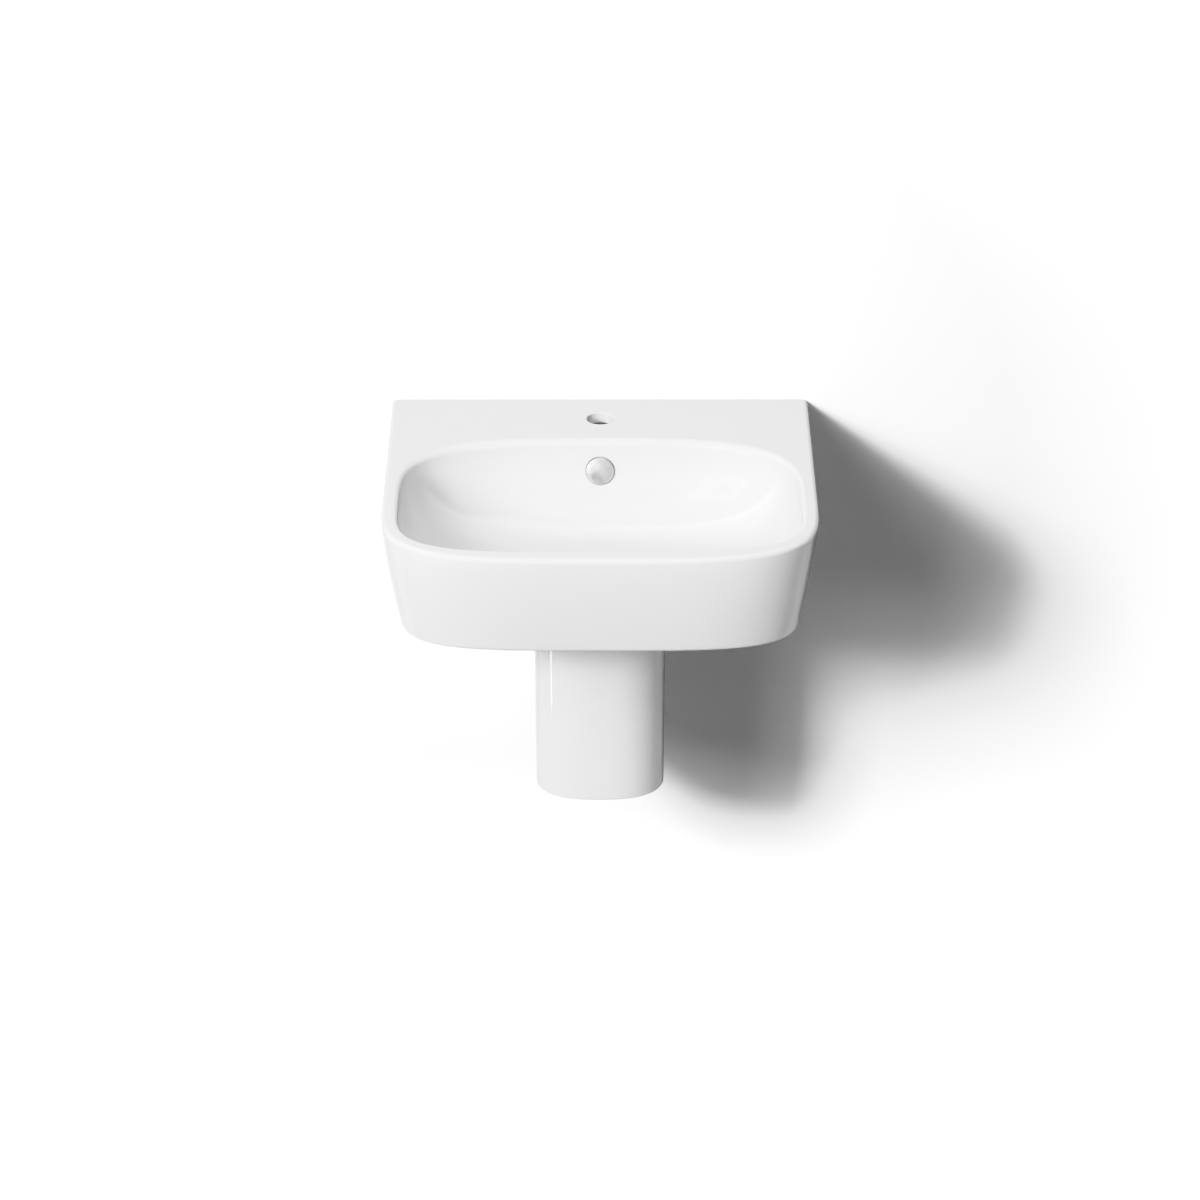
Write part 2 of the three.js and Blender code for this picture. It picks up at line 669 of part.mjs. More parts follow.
// The pieces of one wall fixing, each with how far it stands off the wall.
function wallFixing({ thread, hole, depth, inWall, flange, flats, nut }) {
  const washerAt = depth + SLEEVE_FLANGE + 2 * SEAT_GAP;
  const nutAt = washerAt + BOLT_WASHER + SEAT_GAP;
  return {
    bolt: [hangerBolt(thread, inWall, nutAt + nut + BOLT_TIP), 0, ZINC()],
    sleeve: [boltSleeve(thread, hole, depth, flange), 0, NYLON()],
    washer: [washer(thread, flange - 2), washerAt, ZINC()],
    nut: [hexNut(thread, flats, nut), nutAt, ZINC()],
  };
}

// ---------------------------------------------------------------- waste

const SPIDER_Z = WASTE_Z - SPIDER_DROP;
const SEAT_Z = WASTE_Z - STOPPER_THICK - STOPPER_SEAL; // where the stopper's seal closes
const CARTRIDGE_TOP_Z = SPIDER_Z + SEAT_GAP + CARTRIDGE_HEIGHT;
const CARTRIDGE_FLOOR_Z = SPIDER_Z + SEAT_GAP + CARTRIDGE_FLOOR;
const PISTON_Z = CARTRIDGE_TOP_Z - CARTRIDGE_CAP - SEAT_GAP; // top of the piston, stopper up
const STOPPER_Z = SEAT_Z + SEAT_GAP + STOPPER_TRAVEL; // underside of the seal, stopper up
const SPIDER_CUT = [SPIDER_Z - SPIDER_THICK - 1, SPIDER_Z + 1]; // heights of a cut through the spider
const STUD_HOLE = CARTRIDGE_STUD + 2 * RUN_GAP;

function wasteBody() {
  const bore = WASTE_BORE / 2;
  const pocket = STOPPER / 2 + RUN_GAP;
  const section = [
    [bore, WASTE_END_Z],
    [WASTE_THREAD / 2, WASTE_END_Z],
    [WASTE_THREAD / 2, WASTE_Z - WASTE_FLANGE_THICK - 3],
    [WASTE_THREAD / 2 + WASTE_NECK, WASTE_Z - WASTE_FLANGE_THICK],
    [WASTE_FLANGE / 2, WASTE_Z - WASTE_FLANGE_THICK],
    [WASTE_FLANGE / 2, WASTE_Z - 1],
    [WASTE_FLANGE / 2 - 1.2, WASTE_Z],
    [pocket + 1, WASTE_Z],
    [pocket, WASTE_Z - 1],
    [pocket, SEAT_Z],
    [bore, SEAT_Z],
  ];
  const slot = block(
    [-WASTE_SLOT_WIDTH / 2, WASTE_SLOT_WIDTH / 2],
    [-WASTE_THREAD, WASTE_THREAD],
    [DUCT_Z - WASTE_SLOT_BELOW, DUCT_Z + WASTE_SLOT_ABOVE],
  );
  const disc = tube(WASTE_BORE + 1, 0, SPIDER_Z - SPIDER_THICK, SPIDER_Z);
  const ways = Array.from({ length: 4 }, (_, i) => {
    const bearing = (Math.PI / 2) * i + Math.PI / 4;
    const way = tube(SPIDER_WAY, 0, ...SPIDER_CUT, 12);
    return way.translate(
      SPIDER_WAY_RADIUS * Math.cos(bearing),
      SPIDER_WAY_RADIUS * Math.sin(bearing),
      0,
    );
  });
  const stud = tube(STUD_HOLE, 0, ...SPIDER_CUT, 14);
  const slotted = cut(turned(section, 24), slot, slot.clone().rotateZ(Math.PI / 2));
  return cut(join(slotted, disc), ...ways, stud);
}

// The spring housing of the click stopper, with the stud that holds it to the spider.
function stopperCartridge() {
  const outer = CARTRIDGE / 2;
  const inner = outer - CARTRIDGE_WALL;
  const top = CARTRIDGE_TOP_Z - CARTRIDGE_CAP;
  const stud = CARTRIDGE_STUD / 2;
  return turned(
    [
      [0, SPIDER_Z - SPIDER_THICK - CARTRIDGE_STUD_DROP],
      [stud, SPIDER_Z - SPIDER_THICK - CARTRIDGE_STUD_DROP],
      [stud, SPIDER_Z + SEAT_GAP],
      [outer, SPIDER_Z + SEAT_GAP],
      [outer, top],
      [inner, top],
      [inner, CARTRIDGE_FLOOR_Z],
      [0, CARTRIDGE_FLOOR_Z],
    ],
    20,
  );
}

function cartridgeCap() {
  const bore = PLUNGER + 2 * RUN_GAP;
  const bottom = CARTRIDGE_TOP_Z - CARTRIDGE_CAP + SEAT_GAP;
  return tube(CARTRIDGE, bore, bottom, CARTRIDGE_TOP_Z, 20);
}

function stopperPlunger() {
  const piston = CARTRIDGE / 2 - CARTRIDGE_WALL - RUN_GAP;
  return turned(
    [
      [0, PISTON_Z - PISTON_THICK],
      [piston, PISTON_Z - PISTON_THICK],
      [piston, PISTON_Z],
      [PLUNGER / 2, PISTON_Z],
      [PLUNGER / 2, STOPPER_Z + STOPPER_SEAL],
      [0, STOPPER_Z + STOPPER_SEAL],
    ],
    20,
  );
}

function stopperSpring() {
  const radius = CARTRIDGE / 2 - CARTRIDGE_WALL - RUN_GAP - SPRING_WIRE;
  const bottom = CARTRIDGE_FLOOR_Z + SPRING_WIRE / 2 + SEAT_GAP;
  const top = PISTON_Z - PISTON_THICK - SPRING_WIRE / 2 - SEAT_GAP;
  const steps = SPRING_TURNS * 10;
  const points = Array.from({ length: steps + 1 }, (_, i) => {
    const turn = (2 * Math.PI * i) / 10;
    const rise = i / steps;
    const z = THREE.MathUtils.lerp(bottom, top, rise);
    return new THREE.Vector3(radius * Math.cos(turn), radius * Math.sin(turn), z);
  });
  const wire = new THREE.Shape();
  wire.absarc(0, 0, SPRING_WIRE / 2, 0, 2 * Math.PI);
  return new THREE.ExtrudeGeometry(wire, {
    steps,
    curveSegments: 3,
    extrudePath: new THREE.CatmullRomCurve3(points),
  });
}

function cartridgeNut() {
  const top = SPIDER_Z - SPIDER_THICK - SEAT_GAP;
  const bottom = top - CARTRIDGE_NUT;
  return cut(
    prism(6, CARTRIDGE_NUT_FLATS, bottom, top),
    tube(STUD_HOLE, 0, bottom - 1, top + 1, 14),
  );
}

function stopperSeal() {
  const bore = PLUNGER + 2 * RUN_GAP;
  return tube(STOPPER - 1, bore, STOPPER_Z, STOPPER_Z + STOPPER_SEAL);
}

function stopperCap() {
  const bottom = STOPPER_Z + STOPPER_SEAL + SEAT_GAP;
  const radius = STOPPER / 2;
  return turned(
    [
      [0, bottom],
      [radius, bottom],
      [radius, bottom + STOPPER_THICK - 1.6],
      [radius - 0.8, bottom + STOPPER_THICK - 0.8],
      [radius - 4, bottom + STOPPER_THICK - 0.2],
      [0, bottom + STOPPER_THICK],
    ],
    24,
  );
}

function wasteGasket() {
  const top = BOSS_Z - SEAT_GAP;
  const bore = WASTE_THREAD / 2 + RUN_GAP;
  return turned([
    [bore, top - WASTE_GASKET],
    [WASTE_NUT_FLATS / 2, top - WASTE_GASKET],
    [DRAIN_BOSS / 2 - 4, top],
    [bore, top],
  ]);
}

function wasteNut(top) {
  const bore = tube(WASTE_THREAD + 2 * RUN_GAP, 0, top - WASTE_NUT - 1, top + 1);
  return cut(prism(6, WASTE_NUT_FLATS, top - WASTE_NUT, top), bore);
}

// ---------------------------------------------------------------- bottle trap

// A ribbed nut that clamps a pipe's seal: a threaded skirt from z = 0 up, and a lip below it.
function unionNut(thread) {
  const bore = thread / 2 + RUN_GAP;
  const outer = bore + UNION_NUT_WALL;
  const body = turned([
    [TRAP_PIPE / 2 + RUN_GAP, -UNION_LIP],
    [outer - 2, -UNION_LIP],
    [outer, -UNION_LIP + 2],
    [outer, UNION_NUT_LENGTH - UNION_LIP],
    [bore, UNION_NUT_LENGTH - UNION_LIP],
    [bore, 0],
    [TRAP_PIPE / 2 + RUN_GAP, 0],
  ]);
  const ribs = gripRibs(UNION_GRIPS, outer, 1, UNION_NUT_LENGTH - UNION_LIP - 2);
  return join(body, ...ribs);
}

function gripRibs(count, radius, bottom, top) {
  return Array.from({ length: count }, (_, i) =>
    block(
      [radius - GRIP_ROOT, radius + GRIP_PROUD],
      [-GRIP_WIDTH / 2, GRIP_WIDTH / 2],
      [bottom, top],
    ).rotateZ((2 * Math.PI * i) / count),
  );
}

// A seal ring round the pipe, its top face at z = 0.
function pipeSeal(outer) {
  return tube(outer, TRAP_PIPE + 2 * RUN_GAP, -PIPE_SEAL, 0);
}

const INLET_SEAL_Z = WASTE_END_Z - SEAT_GAP;
const INLET_Z = INLET_SEAL_Z - PIPE_SEAL - SEAT_GAP;
const CUP_TOP_Z = TRAP_BODY_Z - TRAP_BODY_HEIGHT - SEAT_GAP;
const CUP_FLOOR_Z = CUP_TOP_Z - CUP_HEIGHT + TRAP_WALL;
const CUP_SHELF_Z = CUP_TOP_Z - CUP_THREAD_LENGTH - CUP_SEAL - 2 * SEAT_GAP;
const COLLAR_TOP_Z = TRAP_BODY_Z + TRAP_COLLAR_HEIGHT;
const NECK = TRAP_BODY / 2 - TRAP_WALL; // radius of the thread that the cup screws on

function inletPipe() {
  const inner = TRAP_PIPE / 2 - TRAP_PIPE_WALL;
  return turned([
    [inner, CUP_FLOOR_Z + DIP],
    [TRAP_PIPE / 2, CUP_FLOOR_Z + DIP],
    [TRAP_PIPE / 2, INLET_Z - PIPE_FLANGE],
    [WASTE_THREAD / 2 - RUN_GAP, INLET_Z - PIPE_FLANGE],
    [WASTE_THREAD / 2 - RUN_GAP, INLET_Z],
    [inner, INLET_Z],
  ]);
}

function trapBody() {
  const outer = TRAP_BODY / 2;
  const bottom = TRAP_BODY_Z - TRAP_BODY_HEIGHT;
  const passage = TRAP_PIPE / 2 + RUN_GAP;
  const shell = turned(
    [
      [NECK - TRAP_WALL, bottom - CUP_THREAD_LENGTH],
      [NECK, bottom - CUP_THREAD_LENGTH],
      [NECK, bottom],
      [outer, bottom],
      [outer, TRAP_BODY_Z - 5],
      [outer - 2, TRAP_BODY_Z - 1.5],
      [outer - 6, TRAP_BODY_Z],
      [TRAP_COLLAR / 2, TRAP_BODY_Z],
      [TRAP_COLLAR / 2, COLLAR_TOP_Z],
      [passage, COLLAR_TOP_Z],
      [passage, TRAP_BODY_Z - TRAP_WALL],
      [NECK - TRAP_WALL, TRAP_BODY_Z - TRAP_WALL - 4],
    ],
    24,
  );
  const start = outer - TRAP_WALL - 1.5;
  const branch = (diameter, from, to) =>
    tube(diameter, 0, from, to).rotateX(-Math.PI / 2).translate(0, 0, TRAP_OUTLET_Z);
  const outlet = branch(TRAP_BRANCH_DIAMETER, start, TRAP_BRANCH);
  const bore = branch(TRAP_PIPE - 2 * TRAP_PIPE_WALL, TRAP_BORE_START, TRAP_BRANCH + 1);
  const socket = branch(TRAP_PIPE + 2 * RUN_GAP, TRAP_BRANCH - TRAP_SOCKET, TRAP_BRANCH + 1);
  const inside = tube(2 * (NECK - TRAP_WALL), 0, bottom, TRAP_BODY_Z - TRAP_WALL - 4, 24);
  return cut(join(shell, cut(outlet, inside)), bore, socket);
}

function trapCup() {
  const outer = TRAP_BODY / 2 + CUP_PROUD;
  const inner = NECK - CUP_SHELF;
  const bottom = CUP_FLOOR_Z - TRAP_WALL;
  const grips = bottom + CUP_GRIP_START;
  const body = turned(
    [
      [0, bottom],
      [outer - 9, bottom],
      [outer - 3, bottom + 3],
      [outer, bottom + 9],
      [outer, CUP_TOP_Z],
      [NECK + RUN_GAP, CUP_TOP_Z],
      [NECK + RUN_GAP, CUP_SHELF_Z],
      [inner, CUP_SHELF_Z],
      [inner, CUP_FLOOR_Z + 5],
      [inner - 5, CUP_FLOOR_Z],
      [0, CUP_FLOOR_Z],
    ],
    24,
  );
  return join(body, ...gripRibs(CUP_GRIPS, outer, grips, grips + CUP_GRIP_HEIGHT));
}

function cupSeal() {
  const bottom = CUP_SHELF_Z + SEAT_GAP;
  return tube(2 * NECK - 0.4, 2 * (NECK - TRAP_WALL), bottom, bottom + CUP_SEAL, 24);
}

const BRANCH_END_Y = DRAIN_Y + TRAP_BRANCH;
const OUTLET_SEAL_Y = BRANCH_END_Y + SEAT_GAP;

// Along its own Z, which points off the wall.
function outletPipe() {
  const end = -BRANCH_END_Y + TRAP_SOCKET - SEAT_GAP;
  return tube(TRAP_PIPE, TRAP_PIPE - 2 * TRAP_PIPE_WALL, -OUTLET_IN_WALL, end);
}

// A pressed cover round the pipe, open to the wall.
function wallEscutcheon() {
  const bore = TRAP_PIPE / 2 + RUN_GAP;
  const outer = ESCUTCHEON / 2;
  const sheet = ESCUTCHEON_SHEET;
  return turned(
    [
      [outer - sheet, SEAT_GAP],
      [outer, SEAT_GAP],
      [outer, SEAT_GAP + 1.5],
      [outer - 6, ESCUTCHEON_DEPTH - 3],
      [bore + 3, ESCUTCHEON_DEPTH],
      [bore, ESCUTCHEON_DEPTH],
      [bore, ESCUTCHEON_DEPTH - sheet],
      [bore + 3, ESCUTCHEON_DEPTH - sheet],
      [outer - 6 - sheet / 2, ESCUTCHEON_DEPTH - 3 - sheet],
    ],
    24,
  );
}

// ---------------------------------------------------------------- overflow fittings

// Both are drawn from the bowl's surface, +Z into the bowl.
function overflowInsert() {
  const outer = OVERFLOW_HOLE / 2 - SEAT_GAP;
  const seat = SEAT_GAP - SPOT_DEPTH;
  return turned([
    [outer - INSERT_WALL, seat - INSERT_LENGTH],
    [outer, seat - INSERT_LENGTH],
    [outer, seat],
    [INSERT_FLANGE / 2, seat],
    [INSERT_FLANGE / 2, seat + INSERT_FLANGE_THICK],
    [outer - INSERT_WALL, seat + INSERT_FLANGE_THICK],
  ]);
}

function overflowCover() {
  const bottom = COVER_STAND_OFF;
  const top = bottom + COVER_THICK;
  const radius = COVER / 2;
  const disc = turned(
    [
      [0, bottom],
      [radius - 1, bottom],
      [radius, bottom + 0.8],
      [radius, top - 1.2],
      [radius - 0.5, top - 0.4],
      [radius - 1.4, top],
      [radius * 0.6, top + COVER_CROWN * 0.65],
      [0, top + COVER_CROWN],
    ],
    28,
  );
  const bore = OVERFLOW_HOLE / 2 - SEAT_GAP - INSERT_WALL;
  const legs = Array.from({ length: 3 }, (_, i) =>
    block(
      [bore - LEG_ROOM - LEG_THICK, bore - LEG_ROOM],
      [-LEG_WIDTH / 2, LEG_WIDTH / 2],
      [2 - INSERT_LENGTH, bottom + 1],
    ).rotateZ((2 * Math.PI * i) / 3 + Math.PI / 2),
  );
  return join(disc, ...legs);
}

// ---------------------------------------------------------------- assembly

const sink = new THREE.Group();

function add(name, geometry, look, position = [0, 0, 0], rotation = null) {
  const mesh = new THREE.Mesh(geometry, look);
  mesh.name = name;
  mesh.position.set(...position);
  if (rotation) mesh.rotation.copy(rotation);
  sink.add(mesh);
}

add("basin", basin(), CHINA());
add("half_pedestal", halfPedestal(), CHINA());

const bufferX = pedestalInside(PEDESTAL_Z) + PEDESTAL_WALL / 2;
const SIDES = [
  ["left", -1],
  ["right", 1],
];
for (const [side, sign] of SIDES) {
  const bufferZ = BELLY_Z - PEDESTAL_BELOW_BOWL / 2;
  const bufferAt = [sign * bufferX, PEDESTAL_CENTRE_Y + BUFFER_LENGTH, bufferZ];
  add(`pedestal_buffer_${side}`, pedestalBuffer(), RUBBER(), bufferAt);

  const basinFixing = wallFixing({
    thread: WALL_BOLT,
    hole: WALL_BOLT_HOLE,
    depth: WALL_BOLT_BOSS_DEPTH,
    inWall: WALL_BOLT_IN_WALL,
    flange: WALL_BOLT_FLANGE,
    flats: WALL_BOLT_FLATS,
    nut: WALL_BOLT_NUT,
  });
  for (const [piece, [geometry, off, look]] of Object.entries(basinFixing)) {
    add(`basin_${piece}_${side}`, geometry, look, [sign * WALL_BOLT_X, -off, 0], FACE_OUT);
  }
  const pedestalFixing = wallFixing({
    thread: LUG_BOLT,
    hole: LUG_HOLE,
    depth: LUG_DEPTH,
    inWall: LUG_BOLT_IN_WALL,
    flange: LUG_BOLT_FLANGE,
    flats: LUG_BOLT_FLATS,
    nut: LUG_BOLT_NUT,
  });
  for (const [piece, [geometry, off, look]] of Object.entries(pedestalFixing)) {
    add(`pedestal_${piece}_${side}`, geometry, look, [sign * LUG_BOLT_X, -off, LUG_Z], FACE_OUT);
  }
}

const overflowAt = OVERFLOW.point.toArray();
add("overflow_insert", overflowInsert(), WHITE_PLASTIC(), overflowAt, FACE_BOWL);
add("overflow_cap", overflowCover(), SATIN_CHROME(), overflowAt, FACE_BOWL);

const drainAxis = [0, DRAIN_Y, 0];
const flangeSeal = WASTE_Z - WASTE_FLANGE_THICK - SEAT_GAP;
const sealBore = WASTE_THREAD + 6;
const wasteWasherTop = BOSS_Z - WASTE_GASKET - 2 * SEAT_GAP;
const wasteNutTop = wasteWasherTop - WASTE_WASHER - SEAT_GAP;
add("waste_body", wasteBody(), CHROME(), drainAxis);
add(
  "waste_flange_seal",
  tube(WASTE_FLANGE - 2, sealBore, flangeSeal - WASTE_SEAL, flangeSeal, 24),
  RUBBER(),
  drainAxis,
);
add("waste_gasket", wasteGasket(), RUBBER(), drainAxis);
add(
  "waste_washer",
  tube(
    WASTE_NUT_FLATS,
    WASTE_THREAD + 2 * RUN_GAP,
    wasteWasherTop - WASTE_WASHER,
    wasteWasherTop,
  ),
  NYLON(),
  drainAxis,
);
add("waste_backnut", wasteNut(wasteNutTop), BRASS(), drainAxis);
add("stopper_cap", stopperCap(), CHROME(), drainAxis);
add("stopper_seal", stopperSeal(), RUBBER(), drainAxis);
add("stopper_plunger", stopperPlunger(), STAINLESS(), drainAxis);
add("stopper_spring", stopperSpring(), STAINLESS(), drainAxis);
add("stopper_cartridge", stopperCartridge(), BRASS(), drainAxis);
add("cartridge_cap", cartridgeCap(), BRASS(), drainAxis);
add("cartridge_nut", cartridgeNut(), BRASS(), drainAxis);

const nutInletZ = INLET_Z - PIPE_FLANGE - SEAT_GAP;
const collarSealZ = COLLAR_TOP_Z + SEAT_GAP + PIPE_SEAL;
const upsideDown = new THREE.Euler(Math.PI, 0, 0);
add("trap_inlet_seal", pipeSeal(WASTE_THREAD - 2 * RUN_GAP), RUBBER(), [0, DRAIN_Y, INLET_SEAL_Z]);
add("trap_inlet_nut", unionNut(WASTE_THREAD), CHROME(), [0, DRAIN_Y, nutInletZ]);
add("trap_inlet_pipe", inletPipe(), CHROME(), drainAxis);
add("trap_collar_seal", pipeSeal(TRAP_COLLAR - 1), RUBBER(), [0, DRAIN_Y, collarSealZ]);
add(
  "trap_collar_nut",
  unionNut(TRAP_COLLAR),
  CHROME(),
  [0, DRAIN_Y, collarSealZ + SEAT_GAP],
  upsideDown,
);
add("trap_body", trapBody(), CHROME(), drainAxis);
add("trap_cup_seal", cupSeal(), RUBBER(), drainAxis);
add("trap_cup", trapCup(), CHROME(), drainAxis);
add(
  "trap_outlet_seal",
  pipeSeal(TRAP_BRANCH_DIAMETER - 1),
  RUBBER(),
  [0, OUTLET_SEAL_Y, TRAP_OUTLET_Z],
  FACE_OUT,
);
add(
  "trap_outlet_nut",
  unionNut(TRAP_BRANCH_DIAMETER),
  CHROME(),
  [0, OUTLET_SEAL_Y + PIPE_SEAL + SEAT_GAP, TRAP_OUTLET_Z],
  FACE_OUT,
);
add("trap_outlet_pipe", outletPipe(), CHROME(), [0, 0, TRAP_OUTLET_Z], FACE_OUT);
add("wall_escutcheon", wallEscutcheon(), CHROME(), [0, 0, TRAP_OUTLET_Z], FACE_OUT);

export default sink;
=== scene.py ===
"""A wall-hung washbasin with a half pedestal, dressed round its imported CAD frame."""

import json
from math import atan2, copysign, cos, hypot, pi, radians, sin, tan

import bmesh
import bpy
from mathutils import Matrix, Vector


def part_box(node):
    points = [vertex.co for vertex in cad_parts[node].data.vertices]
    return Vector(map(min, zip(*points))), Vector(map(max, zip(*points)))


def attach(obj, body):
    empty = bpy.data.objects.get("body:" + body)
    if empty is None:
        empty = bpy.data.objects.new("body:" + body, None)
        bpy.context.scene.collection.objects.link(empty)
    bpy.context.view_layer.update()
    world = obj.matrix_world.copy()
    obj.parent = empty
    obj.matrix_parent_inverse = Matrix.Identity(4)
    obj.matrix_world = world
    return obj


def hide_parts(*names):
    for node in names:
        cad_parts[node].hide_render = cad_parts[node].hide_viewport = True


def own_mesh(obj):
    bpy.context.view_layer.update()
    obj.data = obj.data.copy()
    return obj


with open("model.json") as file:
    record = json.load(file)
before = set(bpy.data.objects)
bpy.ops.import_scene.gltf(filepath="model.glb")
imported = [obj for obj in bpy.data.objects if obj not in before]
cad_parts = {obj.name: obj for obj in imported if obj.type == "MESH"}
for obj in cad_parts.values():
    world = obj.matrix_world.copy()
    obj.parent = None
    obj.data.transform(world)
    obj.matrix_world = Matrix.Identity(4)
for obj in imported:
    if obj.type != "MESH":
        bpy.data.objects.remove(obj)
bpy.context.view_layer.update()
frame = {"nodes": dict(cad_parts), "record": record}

MM = 0.001
scene = bpy.context.scene
NODES = frame["nodes"]
RECORD = frame["record"]
BODIES = RECORD["behaviour"]["bodies"]
PIECE_BODY = {node: body for body, members in BODIES.items() for node in members}


# ---- sizes of the china, in metres

basin_low, basin_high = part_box("basin")
WIDTH = basin_high.x - basin_low.x
DEPTH = -basin_low.y
RIM_Z = basin_high.z
APRON_HEIGHT = 145 * MM
FRONT_REACH = 160 * MM
RIM_POWER = 3.6
SKIRT_POWER = 4.1
SKIRT_INSET_SIDE = 21.5 * MM
SKIRT_INSET_FRONT = 27 * MM
SKIRT_BULGE = 1.3
RIM_EDGE = 6 * MM
SKIRT_EDGE = 5 * MM
BACK_CORNER = 2 * MM  # also the pedestal's
SHELL = 13 * MM
SKIRT_WALL = 11 * MM
DECK = 15 * MM
BACK_PANEL = 12 * MM
RIM_SIDE = 14 * MM
RIM_FRONT = 20 * MM
DECK_DEPTH = 112 * MM
BOWL_FORWARD = 14 * MM
BOWL_DEPTH = 115 * MM
BOWL_FRONT_POWER = 4.1
BOWL_BACK_POWER = 3.3
BOWL_WALL_POWER = 3.2
BOWL_RISE_POWER = 0.55
BOWL_EDGE = 6 * MM
BOWL_BACK_EDGE = 10 * MM
TAP_HOLE = 35 * MM
TAP_HOLE_Y = -56.4 * MM
TAP_HOLE_EDGE = 1.6 * MM
DRAIN_SEAT_DEPTH = 5 * MM
DUCT_WIDTH = 44 * MM
DUCT_DEPTH = 16 * MM
DUCT_WALL = 7 * MM
DUCT_COVER = 11 * MM
CHAMBER_GROOVE = 3.5 * MM
OVERFLOW_HOLE = 26 * MM
OVERFLOW_SPOT = 33 * MM
MOAT = 37.6 * MM  # narrow sunk ring round the overflow's cover
MOAT_DEPTH = 3.4 * MM
SPOT_DEPTH = 1.2 * MM
BOSS_EDGE = 2 * MM
CUTOUT_EDGE = 3 * MM
CUTOUT_WIDTH = 220 * MM
CUTOUT_HEIGHT = 40 * MM
WALL_BOLT_HOLE = 16 * MM
WALL_BOLT_BOSS = 48 * MM
WALL_BOLT_BOSS_DEPTH = 20 * MM

bolt_low, bolt_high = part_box("basin_bolt_right")
WALL_BOLT_X = (bolt_low.x + bolt_high.x) / 2
waste_low, waste_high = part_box("waste_body")
DRAIN_Y = (waste_low.y + waste_high.y) / 2
SKIRT_Z = RIM_Z - APRON_HEIGHT
FLOOR_Z = RIM_Z - BOWL_DEPTH
BOWL_CENTRE_Y = -(DECK_DEPTH + DEPTH - RIM_FRONT) / 2 - BOWL_FORWARD
DRAIN_SEAT = waste_high.x - waste_low.x + 3 * MM
DRAIN_HOLE = 46.9 * MM
DRAIN_BOSS = 73.9 * MM
BOSS_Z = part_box("waste_gasket")[1].z + 0.3 * MM  # its underside, which the gasket bears on
DUCT_OFFSET = DUCT_COVER + DUCT_DEPTH / 2
DUCT_Z = FLOOR_Z - DUCT_OFFSET

pedestal_low, pedestal_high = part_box("half_pedestal")
PEDESTAL_Z = pedestal_high.z
PEDESTAL_FOOT_Z = pedestal_low.z
PEDESTAL_DEPTH = -pedestal_low.y
PEDESTAL_TOP_WIDTH = pedestal_high.x - pedestal_low.x
PEDESTAL_BOTTOM_WIDTH = PEDESTAL_TOP_WIDTH - 3 * MM
PEDESTAL_REACH = 58 * MM
PEDESTAL_POWER = 2.5
PEDESTAL_WALL = 11 * MM
PEDESTAL_EDGE = 3 * MM
LUG_HEIGHT = 44 * MM
LUG_WIDTH = 30 * MM
LUG_DEPTH = 14 * MM
LUG_HOLE = 13 * MM


# ---- camera, at the photograph's angle

CAMERA_BACK = 4.7686
CAMERA_OVER_RIM = 2.3327
CAMERA_PITCH = 28.94  # degrees below the horizon



def put_in_scene(name, data):
    obj = bpy.data.objects.new(name, data)
    scene.collection.objects.link(obj)
    return obj


camera_data = bpy.data.cameras.new("camera")
camera_data.lens = 120
camera_data.sensor_width = 36
camera_data.clip_end = 50
camera = put_in_scene("camera", camera_data)
camera.location = (0, -CAMERA_BACK, RIM_Z + CAMERA_OVER_RIM)
camera.rotation_euler = (radians(90 - CAMERA_PITCH), 0, 0)
scene.camera = camera


# ---- mesh helpers


ON_AXIS = 1e-7
ON_FACE = 1e-5
SAME_POINT = 1e-6
OFF_SEAM = 0.1  # degrees, which keeps a section's plane clear of the facets' seams
SECTION_DOUBLE = 3e-5
SECTION_STRAIGHT = 4e-6
FLATTEST_CORNER = radians(88)
EDGE_SHARE = 0.45  # how much of the shorter side a rounded corner may take


def mesh_object(name, points, faces):
    """A mesh from points in metres, with its normals facing out."""
    data = bpy.data.meshes.new(name)
    data.from_pydata([tuple(p) for p in points], [], faces)
    data.update()
    return put_in_scene(name, data)


def apply_modifiers(obj):
    """Turns what the modifiers make into the object's own mesh."""
    graph = bpy.context.evaluated_depsgraph_get()
    made = bpy.data.meshes.new_from_object(obj.evaluated_get(graph))
    old = obj.data
    obj.modifiers.clear()
    obj.data = made
    bpy.data.meshes.remove(old)


def combine(target, others, operation):
    """Joins to, cuts from or keeps of the target what the other closed meshes hold."""
    for other in others:
        modifier = target.modifiers.new("boolean", "BOOLEAN")
        modifier.operation = operation
        modifier.solver = "MANIFOLD"
        modifier.object = other
        apply_modifiers(target)
        old = other.data
        bpy.data.objects.remove(other)
        bpy.data.meshes.remove(old)
    return target


def join(target, *others):
    return combine(target, others, "UNION")


def cut(target, *others):
    return combine(target, others, "DIFFERENCE")


def keep_common(target, other):
    return combine(target, [other], "INTERSECT")


def shade(obj, angle):
    """Smooth shading with crisp edges over an angle, led by the large flat faces."""
    data = obj.data
    data.polygons.foreach_set("use_smooth", [True] * len(data.polygons))
    data.set_sharp_from_angle(angle=radians(angle))
    weighted = obj.modifiers.new("weighted", "WEIGHTED_NORMAL")
    weighted.keep_sharp = True
    weighted.weight = FACE_WEIGHT


def loft(name, rings):
    """A closed skin over rings of equal count, anticlockwise from above, bottom to top."""
    count = len(rings[0])
    points = [p for ring in rings for p in ring]
    faces = [tuple(reversed(range(count)))]
    for start in range(0, (len(rings) - 1) * count, count):
        for i in range(count):
            a, b = start + i, start + (i + 1) % count
            faces.append((a, b, b + count, a + count))
    faces.append(tuple(range((len(rings) - 1) * count, len(rings) * count)))
    return mesh_object(name, points, faces)


